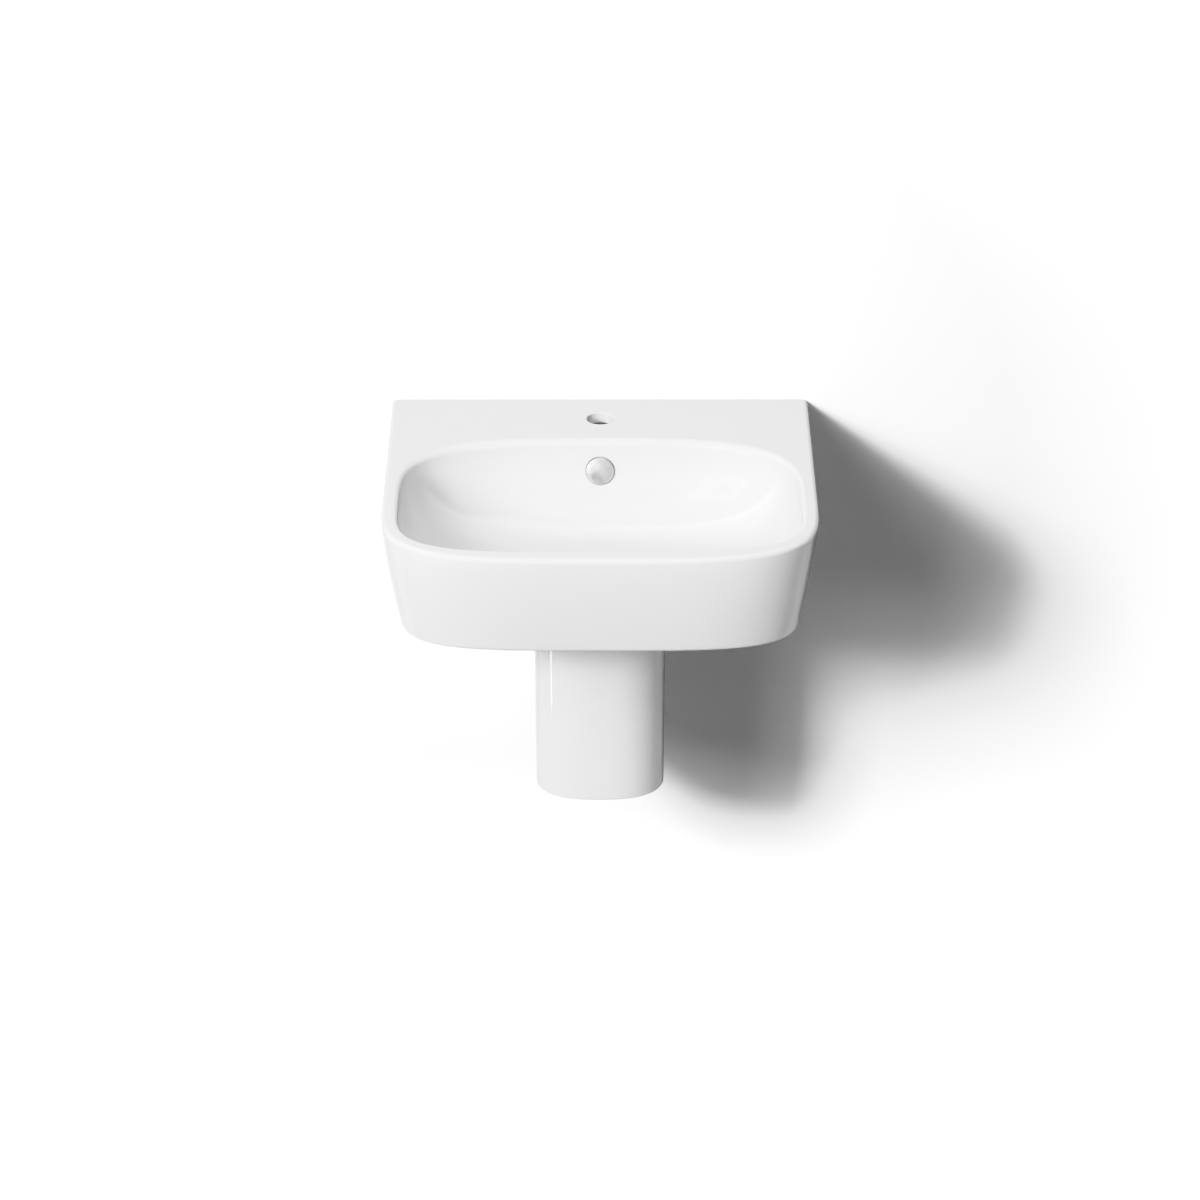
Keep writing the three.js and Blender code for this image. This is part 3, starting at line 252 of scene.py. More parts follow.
def spin(name, outline, place, segments=72, relief=None):
    """Turns an outline of (radius, height), anticlockwise, about its own Z and puts it in place.

    An outline whose ends are on the axis makes a solid end; any other closes on itself.
    relief(radius, height, angle) gives how much of the radius a thread takes off.
    """
    open_ended = outline[0][0] < ON_AXIS and outline[-1][0] < ON_AXIS
    points, rows = [], []
    for radius, height in outline:
        if radius < ON_AXIS:
            rows.append([len(points)] * segments)
            points.append(place @ Vector((0, 0, height)))
            continue
        row = []
        for i in range(segments):
            angle = 2 * pi * i / segments
            r = radius - (relief(radius, height, angle) if relief else 0)
            row.append(len(points))
            on_ring = Vector((r * cos(angle), r * sin(angle), height))
            points.append(place @ on_ring)
        rows.append(row)
    faces = []
    for low, high in zip(rows, rows[1:] + ([] if open_ended else rows[:1])):
        for i in range(segments):
            j = (i + 1) % segments
            face = tuple(dict.fromkeys([low[i], low[j], high[j], high[i]]))
            if len(face) > 2:
                faces.append(face)
    return mesh_object(name, points, faces)


def rounded(outline, radius, steps=4):
    """An outline with each corner off the axis turned into an arc."""
    open_ended = outline[0][0] < ON_AXIS and outline[-1][0] < ON_AXIS
    count = len(outline)
    made = []
    for i, corner in enumerate(outline):
        if open_ended and i in (0, count - 1):
            made.append(corner)
            continue
        here = Vector(corner)
        before = Vector(outline[i - 1]) - here
        after = Vector(outline[(i + 1) % count]) - here
        half = before.angle(after, pi) / 2
        if half > FLATTEST_CORNER:
            made.append(corner)
            continue
        room = EDGE_SHARE * min(before.length, after.length)
        reach = min(radius / tan(half), room)
        start = here + before.normalized() * reach
        end = here + after.normalized() * reach
        for step in range(steps + 1):
            t = step / steps
            point = (1 - t) ** 2 * start + 2 * t * (1 - t) * here + t * t * end
            made.append((point.x, point.y))
    return made


def axis_frame(centre, axis):
    """The matrix that puts a piece drawn about its own Z on an axis through a point."""
    turn = Vector((0, 0, 1)).rotation_difference(Vector(axis))
    return Matrix.Translation(centre) @ turn.to_matrix().to_4x4()




def half_section(node, place, angle):
    """The outline of a CAD node's half section, in the plane at an angle round its axis."""
    mesh = bmesh.new()
    mesh.from_mesh(NODES[node].data)
    bmesh.ops.remove_doubles(mesh, verts=mesh.verts, dist=SAME_POINT)
    mesh.transform(place.inverted())
    turn = radians(angle + OFF_SEAM)
    out = Vector((cos(turn), sin(turn), 0))
    across = Vector((-out.y, out.x, 0))

    def bisect(normal, clear):
        geom = mesh.verts[:] + mesh.edges[:] + mesh.faces[:]
        return bmesh.ops.bisect_plane(
            mesh, geom=geom, plane_co=(0, 0, 0), plane_no=normal, clear_inner=clear
        )

    bisect(out, True)
    made = bisect(across, False)
    edges = [e for e in made["geom_cut"] if isinstance(e, bmesh.types.BMEdge)]
    neighbours = {}
    for edge in edges:
        a, b = edge.verts
        neighbours.setdefault(a, []).append(b)
        neighbours.setdefault(b, []).append(a)
    ends = [v for v, near in neighbours.items() if len(near) == 1]
    current = ends[0] if ends else next(iter(neighbours))
    chain, before = [current], None
    while True:
        onward = [v for v in neighbours[current] if v is not before and v is not chain[0]]
        if not onward or (len(chain) > 2 and onward[0] in chain):
            break
        before, current = current, onward[0]
        chain.append(current)
    outline = [(max(v.co.dot(out), 0.0), v.co.z) for v in chain]
    mesh.free()
    return tidy_outline(outline, bool(ends))


def tidy_outline(outline, open_ended):
    """Drops doubled points and points on straight stretches, and lists the rest anticlockwise."""
    kept = [Vector(point) for point in outline]
    if open_ended:
        kept[0].x = kept[-1].x = 0
    changed = True
    while changed:
        changed = False
        for i in range(len(kept) - 1, -1, -1):
            if open_ended and i in (0, len(kept) - 1):
                continue
            before, here, after = kept[i - 1], kept[i], kept[(i + 1) % len(kept)]
            span = after - before
            near = (here - before).length < SECTION_DOUBLE and not (open_ended and i == 1)
            off_line = abs(span.cross(here - before))
            straight = span.length > 0 and off_line / span.length < SECTION_STRAIGHT
            if near or straight:
                del kept[i]
                changed = True
    points = [(p.x, p.y) for p in kept]
    sides = zip(points, points[1:] + points[:1])
    area = sum(a[0] * b[1] - b[0] * a[1] for a, b in sides)
    return points if area > 0 else points[::-1]


def thread_relief(outer, bottom, top, pitch, depth):
    """Takes a helical thread out of the outside between two heights."""

    def relief(radius, height, angle):
        if abs(radius - outer) > ON_FACE or not bottom < height < top:
            return 0
        phase = (height / pitch - angle / (2 * pi)) % 1
        fade = min(1, (height - bottom) / pitch, (top - height) / pitch)
        return depth * fade * (1 - abs(2 * phase - 1))

    return relief


def with_rows(outline, outer, bottom, top, spacing):
    """An outline with rows added along its outer face, for a thread to be cut in."""
    made = []
    for i, here in enumerate(outline):
        made.append(here)
        after = outline[(i + 1) % len(outline)]
        on_face = abs(here[0] - outer) < ON_FACE and abs(after[0] - outer) < ON_FACE
        if not on_face or abs(after[1] - here[1]) < spacing:
            continue
        rows = int(abs(after[1] - here[1]) / spacing)
        for row in range(1, rows):
            height = here[1] + (after[1] - here[1]) * row / rows
            if bottom - spacing < height < top + spacing:
                made.append((outer, height))
    return made


def box_mesh(name, low, high, edge=0.0):
    """A closed box, with its edges rounded if an edge radius is given."""
    mesh = bmesh.new()
    bmesh.ops.create_cube(mesh, size=1)
    size = Vector(high) - Vector(low)
    middle = (Vector(high) + Vector(low)) / 2
    for vertex in mesh.verts:
        vertex.co = Vector([vertex.co[k] * size[k] + middle[k] for k in range(3)])
    if edge:
        edges = mesh.edges[:]
        bmesh.ops.bevel(mesh, geom=edges, offset=edge, segments=3, profile=0.5, affect="EDGES")
    data = bpy.data.meshes.new(name)
    mesh.to_mesh(data)
    mesh.free()
    return put_in_scene(name, data)


def bar(name, inner, outer, half_width, bottom, top, edge):
    """A box across the X axis, from one radius to another."""
    return box_mesh(name, (inner, -half_width, bottom), (outer, half_width, top), edge)


def solid(bottom, top, radius):
    """The outline of a plain cylinder."""
    return [(0, bottom), (radius, bottom), (radius, top), (0, top)]


def cylinder(name, diameter, bottom, top, place, segments=64):
    return spin(name, solid(bottom, top, diameter / 2), place, segments)


SHARP = 32  # degrees between faces, over which an edge stays crisp
FACE_WEIGHT = 60


def dress(obj, node, look, angle=SHARP):
    """Makes a piece stand for its CAD node, on that node's body and material."""
    shade(obj, angle)
    obj.name = node + "_fine"
    obj.data.materials.clear()
    obj.data.materials.append(look)
    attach(obj, PIECE_BODY[node])
    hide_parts(node)
    return obj


# ---- node materials


NOISE_SCALE = 0.5  # a noise texture's scale for blotches of 1 m
WAVE_SCALE = 0.314  # a wave texture's scale for a pitch of 1 m
NOISE_MIDDLE = (0.3, 0.7)  # where most of a noise texture's values lie


class Look:
    """A Principled material that is read in the object's own coordinates, in metres."""

    def __init__(self, name, color, roughness, metallic=0.0, **sockets):
        self.material = bpy.data.materials.new(name)
        self.material.use_nodes = True
        self.tree = self.material.node_tree
        self.shader = self.tree.nodes["Principled BSDF"]
        sockets |= {"Base_Color": (*color, 1), "Roughness": roughness, "Metallic": metallic}
        for socket, value in sockets.items():
            self.shader.inputs[socket.replace("_", " ")].default_value = value
        self.coordinate = self.node("ShaderNodeTexCoord").outputs["Object"]
        self.normal = None

    def node(self, kind, **values):
        made = self.tree.nodes.new(kind)
        for name, value in values.items():
            if name in made.inputs:
                made.inputs[name].default_value = value
            else:
                setattr(made, name, value)
        return made

    def link(self, source, target):
        self.tree.links.new(source, target)

    def placed(self, stretch=(1, 1, 1), origin=(0, 0, 0)):
        start = [-o * s for o, s in zip(origin, stretch)]
        mapping = self.node("ShaderNodeMapping", vector_type="POINT", Scale=stretch, Location=start)
        self.link(self.coordinate, mapping.inputs["Vector"])
        return mapping.outputs["Vector"]

    def noise(self, size, detail=2, stretch=(1, 1, 1), distortion=0.0):
        """Noise whose blotches are about a size across, in metres."""
        scale = NOISE_SCALE / size
        made = self.node("ShaderNodeTexNoise", Scale=scale, Detail=detail, Distortion=distortion)
        self.link(self.placed(stretch), made.inputs["Vector"])
        return made.outputs["Fac"]

    def cells(self, size, output="Distance"):
        made = self.node("ShaderNodeTexVoronoi", Scale=1 / size)
        self.link(self.placed(), made.inputs["Vector"])
        return made.outputs[output]

    def rings(self, pitch, origin=(0, 0, 0), kind="RINGS"):
        """Tool marks at a pitch, round the Z axis or along it."""
        made = self.node("ShaderNodeTexWave", wave_type=kind, Scale=WAVE_SCALE / pitch)
        made.rings_direction = made.bands_direction = "Z"
        self.link(self.placed(origin=origin), made.inputs["Vector"])
        return made.outputs["Fac"]

    def scaled(self, source, low, high, start=0.0, end=1.0):
        limits = {"From Min": start, "From Max": end, "To Min": low, "To Max": high}
        made = self.node("ShaderNodeMapRange", **limits)
        self.link(source, made.inputs["Value"])
        return made.outputs["Result"]

    def mask(self, axis, start, end):
        """0 to 1 between two positions along an axis, in metres."""
        split = self.node("ShaderNodeSeparateXYZ")
        self.link(self.coordinate, split.inputs["Vector"])
        return self.scaled(split.outputs[axis], 0, 1, start, end)

    def blend(self, factor, first, second, kind="FLOAT"):
        """Mixes two values or colours, each a socket or a constant."""
        made = self.node("ShaderNodeMix", data_type=kind)
        suffix = {"FLOAT": "Float", "RGBA": "Color"}[kind]
        sockets = {s.identifier: s for s in made.inputs}
        for identifier, value in ((f"A_{suffix}", first), (f"B_{suffix}", second)):
            if isinstance(value, bpy.types.NodeSocket):
                self.link(value, sockets[identifier])
            else:
                sockets[identifier].default_value = value if kind == "FLOAT" else (*value, 1)
        self.link(factor, sockets["Factor_Float"])
        return {s.identifier: s for s in made.outputs}[f"Result_{suffix}"]

    def tint(self, source, first, second):
        """Base colour that moves between two colours."""
        self.link(self.blend(source, first, second, "RGBA"), self.shader.inputs["Base Color"])

    def gloss(self, source, low, high):
        """Roughness that moves between two values."""
        value = self.scaled(source, low, high, *NOISE_MIDDLE)
        self.link(value, self.shader.inputs["Roughness"])

    def bump(self, source, height):
        """Adds surface relief of a height in metres."""
        made = self.node("ShaderNodeBump", Distance=height, Strength=1.0)
        self.link(source, made.inputs["Height"])
        if self.normal:
            self.link(self.normal, made.inputs["Normal"])
        self.normal = made.outputs["Normal"]
        self.link(self.normal, self.shader.inputs["Normal"])


def glazed_china(name, bare_start, bare_end):
    """White vitreous china under a clear glaze, bare fired clay where the glaze is wiped off."""
    look = Look(name, (0.75, 0.75, 0.747), 0.07, IOR=1.52, Specular_IOR_Level=0.5)
    bare = look.mask("Y", bare_start, bare_end)
    cloud = look.scaled(look.noise(0.09, 3), 0, 1, 0.35, 0.65)
    glaze = look.blend(cloud, (0.742, 0.743, 0.741), (0.758, 0.758, 0.754), "RGBA")
    specks = look.scaled(look.cells(0.011), 1, 0, 0.02, 0.034)
    glaze = look.blend(specks, glaze, (0.74, 0.73, 0.70), "RGBA")
    clay = look.blend(look.noise(0.004, 4), (0.66, 0.63, 0.58), (0.74, 0.71, 0.66), "RGBA")
    look.tint(bare, glaze, clay)
    sheen = look.scaled(look.noise(0.03, 2), 0.055, 0.10, 0.35, 0.65)
    look.link(look.blend(bare, sheen, 0.7), look.shader.inputs["Roughness"])
    look.bump(look.noise(0.030, 1), 0.00012)
    look.bump(look.noise(0.0035, 2), 0.000004)
    look.bump(look.blend(bare, 0.5, look.noise(0.0006, 3)), 0.00003)
    return look.material


def plated(name, color, roughness, grain, relief):
    """Chrome plate: clean, with faint wipe marks and the grain of the metal under it."""
    look = Look(name, color, roughness, 1.0)
    look.gloss(look.noise(0.012, 4, distortion=0.6), 0.7 * roughness, 1.5 * roughness)
    dim = tuple(0.93 * c for c in color)
    look.tint(look.scaled(look.noise(0.03, 3), 0, 1, 0.35, 0.65), color, dim)
    look.bump(look.noise(grain, 3), relief)
    return look.material


def turned_brass(name):
    look = Look(name, (0.72, 0.50, 0.22), 0.3, 1.0)
    look.gloss(look.noise(0.004, 4), 0.22, 0.42)
    tarnish = look.scaled(look.noise(0.009, 4), 0, 1, 0.4, 0.65)
    look.tint(tarnish, (0.76, 0.54, 0.25), (0.55, 0.36, 0.16))
    look.bump(look.rings(0.0004, (0, DRAIN_Y, 0)), 0.000012)
    look.bump(look.rings(0.0005, kind="BANDS"), 0.000008)
    return look.material


def zinc_plate(name):
    look = Look(name, (0.60, 0.62, 0.64), 0.38, 1.0)
    look.tint(look.cells(0.0022, "Color"), (0.56, 0.58, 0.60), (0.68, 0.69, 0.70))
    look.gloss(look.noise(0.003, 4), 0.3, 0.5)
    look.bump(look.noise(0.0007, 3), 0.00002)
    return look.material


def drawn_stainless(name):
    look = Look(name, (0.58, 0.57, 0.55), 0.28, 1.0)
    look.tint(look.noise(0.006, 3), (0.60, 0.59, 0.57), (0.52, 0.51, 0.50))
    look.gloss(look.noise(0.002, 3, stretch=(1, 1, 0.2)), 0.2, 0.36)
    look.bump(look.rings(0.0003, kind="BANDS"), 0.000006)
    return look.material


def moulded(name, light, dark, roughness, grain, relief, **sockets):
    """Moulded rubber or plastic: soft blotches of tone over a fine tool grain."""
    look = Look(name, light, roughness, **sockets)
    look.tint(look.scaled(look.noise(0.007, 3), 0, 1, 0.35, 0.65), light, dark)
    look.gloss(look.noise(0.002, 3), roughness - 0.07, roughness + 0.09)
    look.bump(look.noise(grain, 2), relief)
    look.bump(look.noise(0.006, 1), 0.00005)
    return look.material


CHINA = glazed_china("glazed_china", -0.8 * MM, -0.3 * MM)
PEDESTAL_CHINA = glazed_china("glazed_pedestal", -1.2 * MM, -0.6 * MM)
CHROME = plated("chrome", (0.80, 0.81, 0.82), 0.07, 0.0009, 0.0000015)
SATIN = plated("satin_chrome", (0.90, 0.90, 0.905), 0.42, 0.00035, 0.000004)
BRASS = turned_brass("brass")
ZINC = zinc_plate("zinc")
STAINLESS = drawn_stainless("stainless")
RUBBER = moulded("rubber", (0.022, 0.022, 0.023), (0.032, 0.032, 0.033), 0.62, 0.0005, 0.00003)
PLASTIC = moulded(
    "white_plastic", (0.80, 0.80, 0.78), (0.74, 0.74, 0.72), 0.38, 0.0004, 0.00001, IOR=1.49
)
NYLON = moulded("nylon", (0.70, 0.69, 0.64), (0.62, 0.61, 0.56), 0.46, 0.0006, 0.00002, IOR=1.53)


# ---- outlines of the china


def lerp(a, b, share):
    return a + (b - a) * share


def clamp(value, low=0.0, high=1.0):
    return min(max(value, low), high)


def smoothstep(value, low, high):
    x = clamp((value - low) / (high - low))
    return x * x * (3 - 2 * x)


def superellipse(angle, half_width, reach, power):
    c, s = cos(angle), sin(angle)
    x = half_width * copysign(abs(c) ** (2 / power), c)
    y = reach * copysign(abs(s) ** (2 / power), s)
    return x, y


def spread(bearing, power=3.6):
    """The superellipse angle at a bearing, so that even bearings give even points."""
    c, s = cos(bearing), sin(bearing)
    across = copysign(abs(c) ** (power / 2), c)
    along = copysign(abs(s) ** (power / 2), s)
    return atan2(along, across)


def quarter_round(radius, steps):
    """Where a quarter-round edge has got to: how far in, and how far short of the face."""
    turns = [pi / 2 * i / steps for i in range(steps + 1)]
    return [(radius * (1 - cos(t)), radius * (1 - sin(t))) for t in turns]


def fronted_outline(half_width, centre_y, reach, power, back_y, corner, z, steps=192):
    """Straight back, straight sides and a superelliptic front, in plan."""
    points = []
    for i in range(steps + 1):
        ends = {0: pi, steps: 2 * pi}
        angle = ends.get(i, spread(pi * (1 + i / steps)))
        x, y = superellipse(angle, half_width, reach, power)
        points.append(Vector((x, centre_y + y, z)))
    side_steps, corner_steps = 10, 8
    side, end = half_width - corner, back_y - corner
    for i in range(1, side_steps):
        points.append(Vector((half_width, lerp(centre_y, end, i / side_steps), z)))
    for i in range(corner_steps + 1):
        turn = pi / 2 * i / corner_steps
        points.append(Vector((side + corner * cos(turn), end + corner * sin(turn), z)))
    mirrored = [Vector((-p.x, p.y, p.z)) for p in reversed(points[steps + 1 :])]
    return points + mirrored


def skirt_outline(z, inset, back_y=0):
    rise = clamp((z - SKIRT_Z) / (APRON_HEIGHT - RIM_EDGE))
    taper = (1 - rise) ** SKIRT_BULGE
    half_width = WIDTH / 2 - SKIRT_INSET_SIDE * taper - inset
    reach = FRONT_REACH - SKIRT_INSET_FRONT * taper - inset
    power = lerp(SKIRT_POWER, RIM_POWER, rise)
    centre_y = FRONT_REACH - DEPTH
    return fronted_outline(half_width, centre_y, reach, power, back_y, BACK_CORNER, z)


def basin_outside():
    foot, rim = reversed(quarter_round(SKIRT_EDGE, 8)), quarter_round(RIM_EDGE, 10)
    low, high, levels = SKIRT_Z + SKIRT_EDGE, RIM_Z - RIM_EDGE, 28
    rings = [skirt_outline(SKIRT_Z + short, inset) for inset, short in foot]
    rings += [skirt_outline(lerp(low, high, i / levels), 0) for i in range(1, levels)]
    rings += [skirt_outline(RIM_Z - short, inset) for inset, short in rim]
    return loft("basin_outside", rings)


def basin_inside():
    heights = [-MM] + [APRON_HEIGHT * i / 12 for i in range(1, 11)] + [APRON_HEIGHT - DECK]
    rings = [skirt_outline(SKIRT_Z + h, SKIRT_WALL, -BACK_PANEL) for h in heights]
    return loft("basin_inside", rings)


BOWL_COLUMNS = 320
BOWL_ANGLES = [spread(2 * pi * i / BOWL_COLUMNS) for i in range(BOWL_COLUMNS)]
BOWL_RINGS = 72
BOWL_CROWDING = 2.1  # puts more of the rings near the bowl's top edge
BOWL_SHARES = [1 - (1 - i / BOWL_RINGS) ** BOWL_CROWDING for i in range(BOWL_RINGS + 1)]


def bowl_edge(angle):
    """Radius of the bowl's top edge at one bearing: wider towards the deck."""
    return lerp(BOWL_EDGE, BOWL_BACK_EDGE, smoothstep(sin(angle), 0.2, 0.9))


def bowl_drop(share, edge):
    fall = max(1 - share**BOWL_WALL_POWER, 0) ** BOWL_RISE_POWER
    return edge + (BOWL_DEPTH - edge) * fall


def bowl_point(share, angle, shell=0.0):
    """The bowl's surface, or with a shell the underside of the china."""
    edge = bowl_edge(angle)
    seat = DRAIN_SEAT / 2
    back = sin(angle) > 0
    wall_width = WIDTH / 2 - RIM_SIDE - edge
    wall_back = -DECK_DEPTH - BOWL_CENTRE_Y - edge
    wall_front = DEPTH - RIM_FRONT + BOWL_CENTRE_Y - edge
    half_width = lerp(seat, wall_width, share) + shell
    reach = lerp(seat, wall_back if back else wall_front, share) + shell
    power = lerp(2, BOWL_BACK_POWER if back else BOWL_FRONT_POWER, share)
    x, y = superellipse(angle, half_width, reach, power)
    drop = bowl_drop(share, edge)
    under = shell * (drop - edge) / (BOWL_DEPTH - edge)
    return Vector((x, lerp(DRAIN_Y, BOWL_CENTRE_Y, share) + y, RIM_Z - drop - under))


def bowl_hollow():
    """The bowl with its rounded top edge, and the drain with its seat, as one cutter."""
    lip = 1.5 * MM
    span = WIDTH / 2 - RIM_SIDE - BOWL_EDGE - DRAIN_SEAT / 2
    seat_z = FLOOR_Z - DRAIN_SEAT_DEPTH

    def circle(radius, z):
        return [Vector((radius * cos(a), DRAIN_Y + radius * sin(a), z)) for a in BOWL_ANGLES]

    rings = [circle(DRAIN_HOLE / 2, BOSS_Z - MM), circle(DRAIN_HOLE / 2, seat_z - MM)]
    rings += [circle(DRAIN_HOLE / 2 + a, seat_z - b) for a, b in quarter_round(MM, 3)][1:]
    rings += [circle(DRAIN_SEAT / 2 - MM, seat_z)]
    rings += [circle(DRAIN_SEAT / 2 - a, seat_z + b) for b, a in quarter_round(MM, 3)][1:]
    for inset, short in quarter_round(lip, 5):
        lowered = Vector((0, 0, -short))
        rings.append([bowl_point(inset / span, a) + lowered for a in BOWL_ANGLES])
    for share in BOWL_SHARES:
        if share > 1.3 * lip / span:
            rings.append([bowl_point(share, a) for a in BOWL_ANGLES])
    for outward, short in quarter_round(1, 9)[1:]:
        ring = []
        for angle in BOWL_ANGLES:
            edge = bowl_edge(angle)
            point = bowl_point(1, angle, edge * outward)
            point.z = RIM_Z - edge * short
            ring.append(point)
        rings.append(ring)
    rings.append([Vector((p.x, p.y, RIM_Z + MM)) for p in rings[-1]])
    return loft("bowl_hollow", rings)


def bowl_belly():
    rings = [[bowl_point(s, a, SHELL) for a in BOWL_ANGLES[::2]] for s in BOWL_SHARES[::3]]
    rings.append([Vector((p.x, p.y, RIM_Z)) for p in rings[-1]])
    return loft("bowl_belly", rings)


def back_wall(share):
    """The middle of the bowl's back wall at one share, and its direction into the bowl."""
    step = 1e-4
    point = bowl_point(share, pi / 2)
    along = bowl_point(share - step, pi / 2) - point
    return point, Vector((0, along.z, -along.y)).normalized()


OVERFLOW_DROP = 42 * MM
wall_drop = (OVERFLOW_DROP - BOWL_BACK_EDGE) / (BOWL_DEPTH - BOWL_BACK_EDGE)
overflow_left = wall_drop ** (1 / BOWL_RISE_POWER)
OVERFLOW_POINT, OVERFLOW_AXIS = back_wall((1 - overflow_left) ** (1 / BOWL_WALL_POWER))
AT_OVERFLOW = axis_frame(OVERFLOW_POINT, OVERFLOW_AXIS)
ON_DRAIN = Matrix.Translation((0, DRAIN_Y, 0))


def off_wall(x, z):
    """The frame of a piece whose own axis points off the wall."""
    return axis_frame((x, 0, z), (0, -1, 0))


DUCT_SHARES = (0.985, 0.95, 0.88, 0.77, 0.62, 0.4, 0.15)


def duct(name, grown):
    """The overflow duct behind the bowl and under its floor, grown by a wall for its casing."""
    route = []
    for share in DUCT_SHARES:
        point, inward = back_wall(share)
        route.append((point - DUCT_OFFSET * inward, inward))
    route[0] = (route[0][0] + Vector((0, 0, grown)), route[0][1])
    route.append((Vector((0, DRAIN_Y, DUCT_Z)), Vector((0, 0, 1))))
    half_width, half_depth = DUCT_WIDTH / 2 + grown, DUCT_DEPTH / 2 + grown
    corner = 3 * MM + 0.6 * grown
    rings = []
    for centre, inward in route:
        ring = []
        for side, face, start in ((1, -1, 1.5), (1, 1, 0), (-1, 1, 0.5), (-1, -1, 1)):
            for i in range(5):
                around = pi / 2 * (i / 4) + start * pi
                across = side * (half_width - corner) + corner * cos(around)
                through = face * (half_depth - corner) + corner * sin(around)
                ring.append(centre + Vector((across, 0, 0)) + through * inward)
        rings.append(ring)
    return loft(name, rings[::-1])


def basin():
    boss = rounded(solid(BOSS_Z, FLOOR_Z, DRAIN_BOSS / 2), BOSS_EDGE)
    underside = basin_inside()
    cutters = [bowl_belly(), duct("casing_space", DUCT_WALL), spin("boss_space", boss, ON_DRAIN)]
    stub = rounded(solid(-MM, WALL_BOLT_BOSS_DEPTH, WALL_BOLT_BOSS / 2), BOSS_EDGE)
    for x in (-WALL_BOLT_X, WALL_BOLT_X):
        cutters.append(spin("bolt_boss", stub, off_wall(x, 0)))
    cut(underside, *cutters)
    china = basin_outside()
    join(china, spin("drain_boss", boss, ON_DRAIN), duct("casing", DUCT_WALL))
    cut(china, underside, bowl_hollow())

    low, high = DUCT_Z - DUCT_DEPTH / 2, DUCT_Z + DUCT_DEPTH / 2
    chamber = cylinder("chamber", DRAIN_HOLE + 2 * CHAMBER_GROOVE, low, high, ON_DRAIN)
    mouth, under, lip = TAP_HOLE / 2, RIM_Z - DECK, quarter_round(TAP_HOLE_EDGE, 6)
    tap_outline = [(0, under - MM), (mouth + MM, under - MM), (mouth, under + MM)]
    tap_outline += [(mouth + inset, RIM_Z - short) for inset, short in lip]
    tap_outline += [(mouth + TAP_HOLE_EDGE, RIM_Z + MM), (0, RIM_Z + MM)]
    tap_hole = spin("tap_hole", tap_outline, Matrix.Translation((0, TAP_HOLE_Y, 0)), 96)
    overflow_hole = cylinder("overflow_hole", OVERFLOW_HOLE, -DUCT_OFFSET, MM, AT_OVERFLOW, 96)
    spot = [(0, -SPOT_DEPTH), (OVERFLOW_SPOT / 2, -SPOT_DEPTH), (OVERFLOW_SPOT / 2, -MOAT_DEPTH)]
    spot += [(MOAT / 2, -MOAT_DEPTH), (MOAT / 2, -0.3 * MM), (MOAT / 2 + 0.4 * MM, 0.2 * MM)]
    spot += [(MOAT / 2 + MM, 4 * MM), (0, 4 * MM)]
    overflow_spot = spin("overflow_spot", spot, AT_OVERFLOW, 96)
    cut(china, duct("waterway", 0.0), chamber, tap_hole, overflow_hole, overflow_spot)
    for x in (-WALL_BOLT_X, WALL_BOLT_X):
        ends = (-MM, WALL_BOLT_BOSS_DEPTH + MM)
        cut(china, cylinder("bolt_hole", WALL_BOLT_HOLE, *ends, off_wall(x, 0)))
    low = (-CUTOUT_WIDTH / 2, -BACK_PANEL - CUTOUT_EDGE, SKIRT_Z - 3 * CUTOUT_EDGE)
    high = (CUTOUT_WIDTH / 2, 3 * CUTOUT_EDGE, SKIRT_Z + CUTOUT_HEIGHT)
    cut(china, box_mesh("cutout", low, high, CUTOUT_EDGE))
    return china


dress(basin(), "basin", CHINA)


# ---- half pedestal

lug_low, lug_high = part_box("pedestal_bolt_right")
LUG_BOLT_X = (lug_low.x + lug_high.x) / 2
LUG_Z = (lug_low.z + lug_high.z) / 2


def pedestal_outline(z, inset, back_y=0, corner=BACK_CORNER):
    rise = (z - PEDESTAL_FOOT_Z) / (PEDESTAL_Z - PEDESTAL_FOOT_Z)
    half_width = lerp(PEDESTAL_BOTTOM_WIDTH, PEDESTAL_TOP_WIDTH, rise) / 2 - inset
    front = (PEDESTAL_REACH - PEDESTAL_DEPTH, PEDESTAL_REACH - inset, PEDESTAL_POWER)
    return fronted_outline(half_width, *front, back_y, corner, z, 128)


def half_pedestal():
    def level(share):
        return lerp(PEDESTAL_FOOT_Z, PEDESTAL_Z, share)

    edge = quarter_round(PEDESTAL_EDGE, 6)
    outer = [pedestal_outline(PEDESTAL_FOOT_Z + short, inset) for inset, short in reversed(edge)]
    outer += [pedestal_outline(level(i / 12), 0) for i in range(1, 12)]
    outer += [pedestal_outline(PEDESTAL_Z - short, inset) for inset, short in edge]
    heights = [PEDESTAL_FOOT_Z - MM] + [level(i / 8) for i in range(1, 8)] + [PEDESTAL_Z + MM]
    inner = [pedestal_outline(z, PEDESTAL_WALL, 10 * MM, MM) for z in heights]
    shell = loft("pedestal", outer)
    cut(shell, loft("pedestal_hollow", inner))
    inside = max(p.x for p in pedestal_outline(LUG_Z, PEDESTAL_WALL, 0, MM))
    for side in (-1, 1):
        near, far = side * (inside + PEDESTAL_WALL / 2), side * (inside - LUG_WIDTH)
        low = (min(near, far), -LUG_DEPTH, LUG_Z - LUG_HEIGHT / 2)
        high = (max(near, far), 0, LUG_Z + LUG_HEIGHT / 2)
        join(shell, box_mesh("lug", low, high, 2.5 * MM))
        at = off_wall(side * LUG_BOLT_X, LUG_Z)
        cut(shell, cylinder("lug_hole", LUG_HOLE, -MM, LUG_DEPTH + MM, at))
    return shell


dress(half_pedestal(), "half_pedestal", PEDESTAL_CHINA)


# ---- turned pieces, from their CAD sections

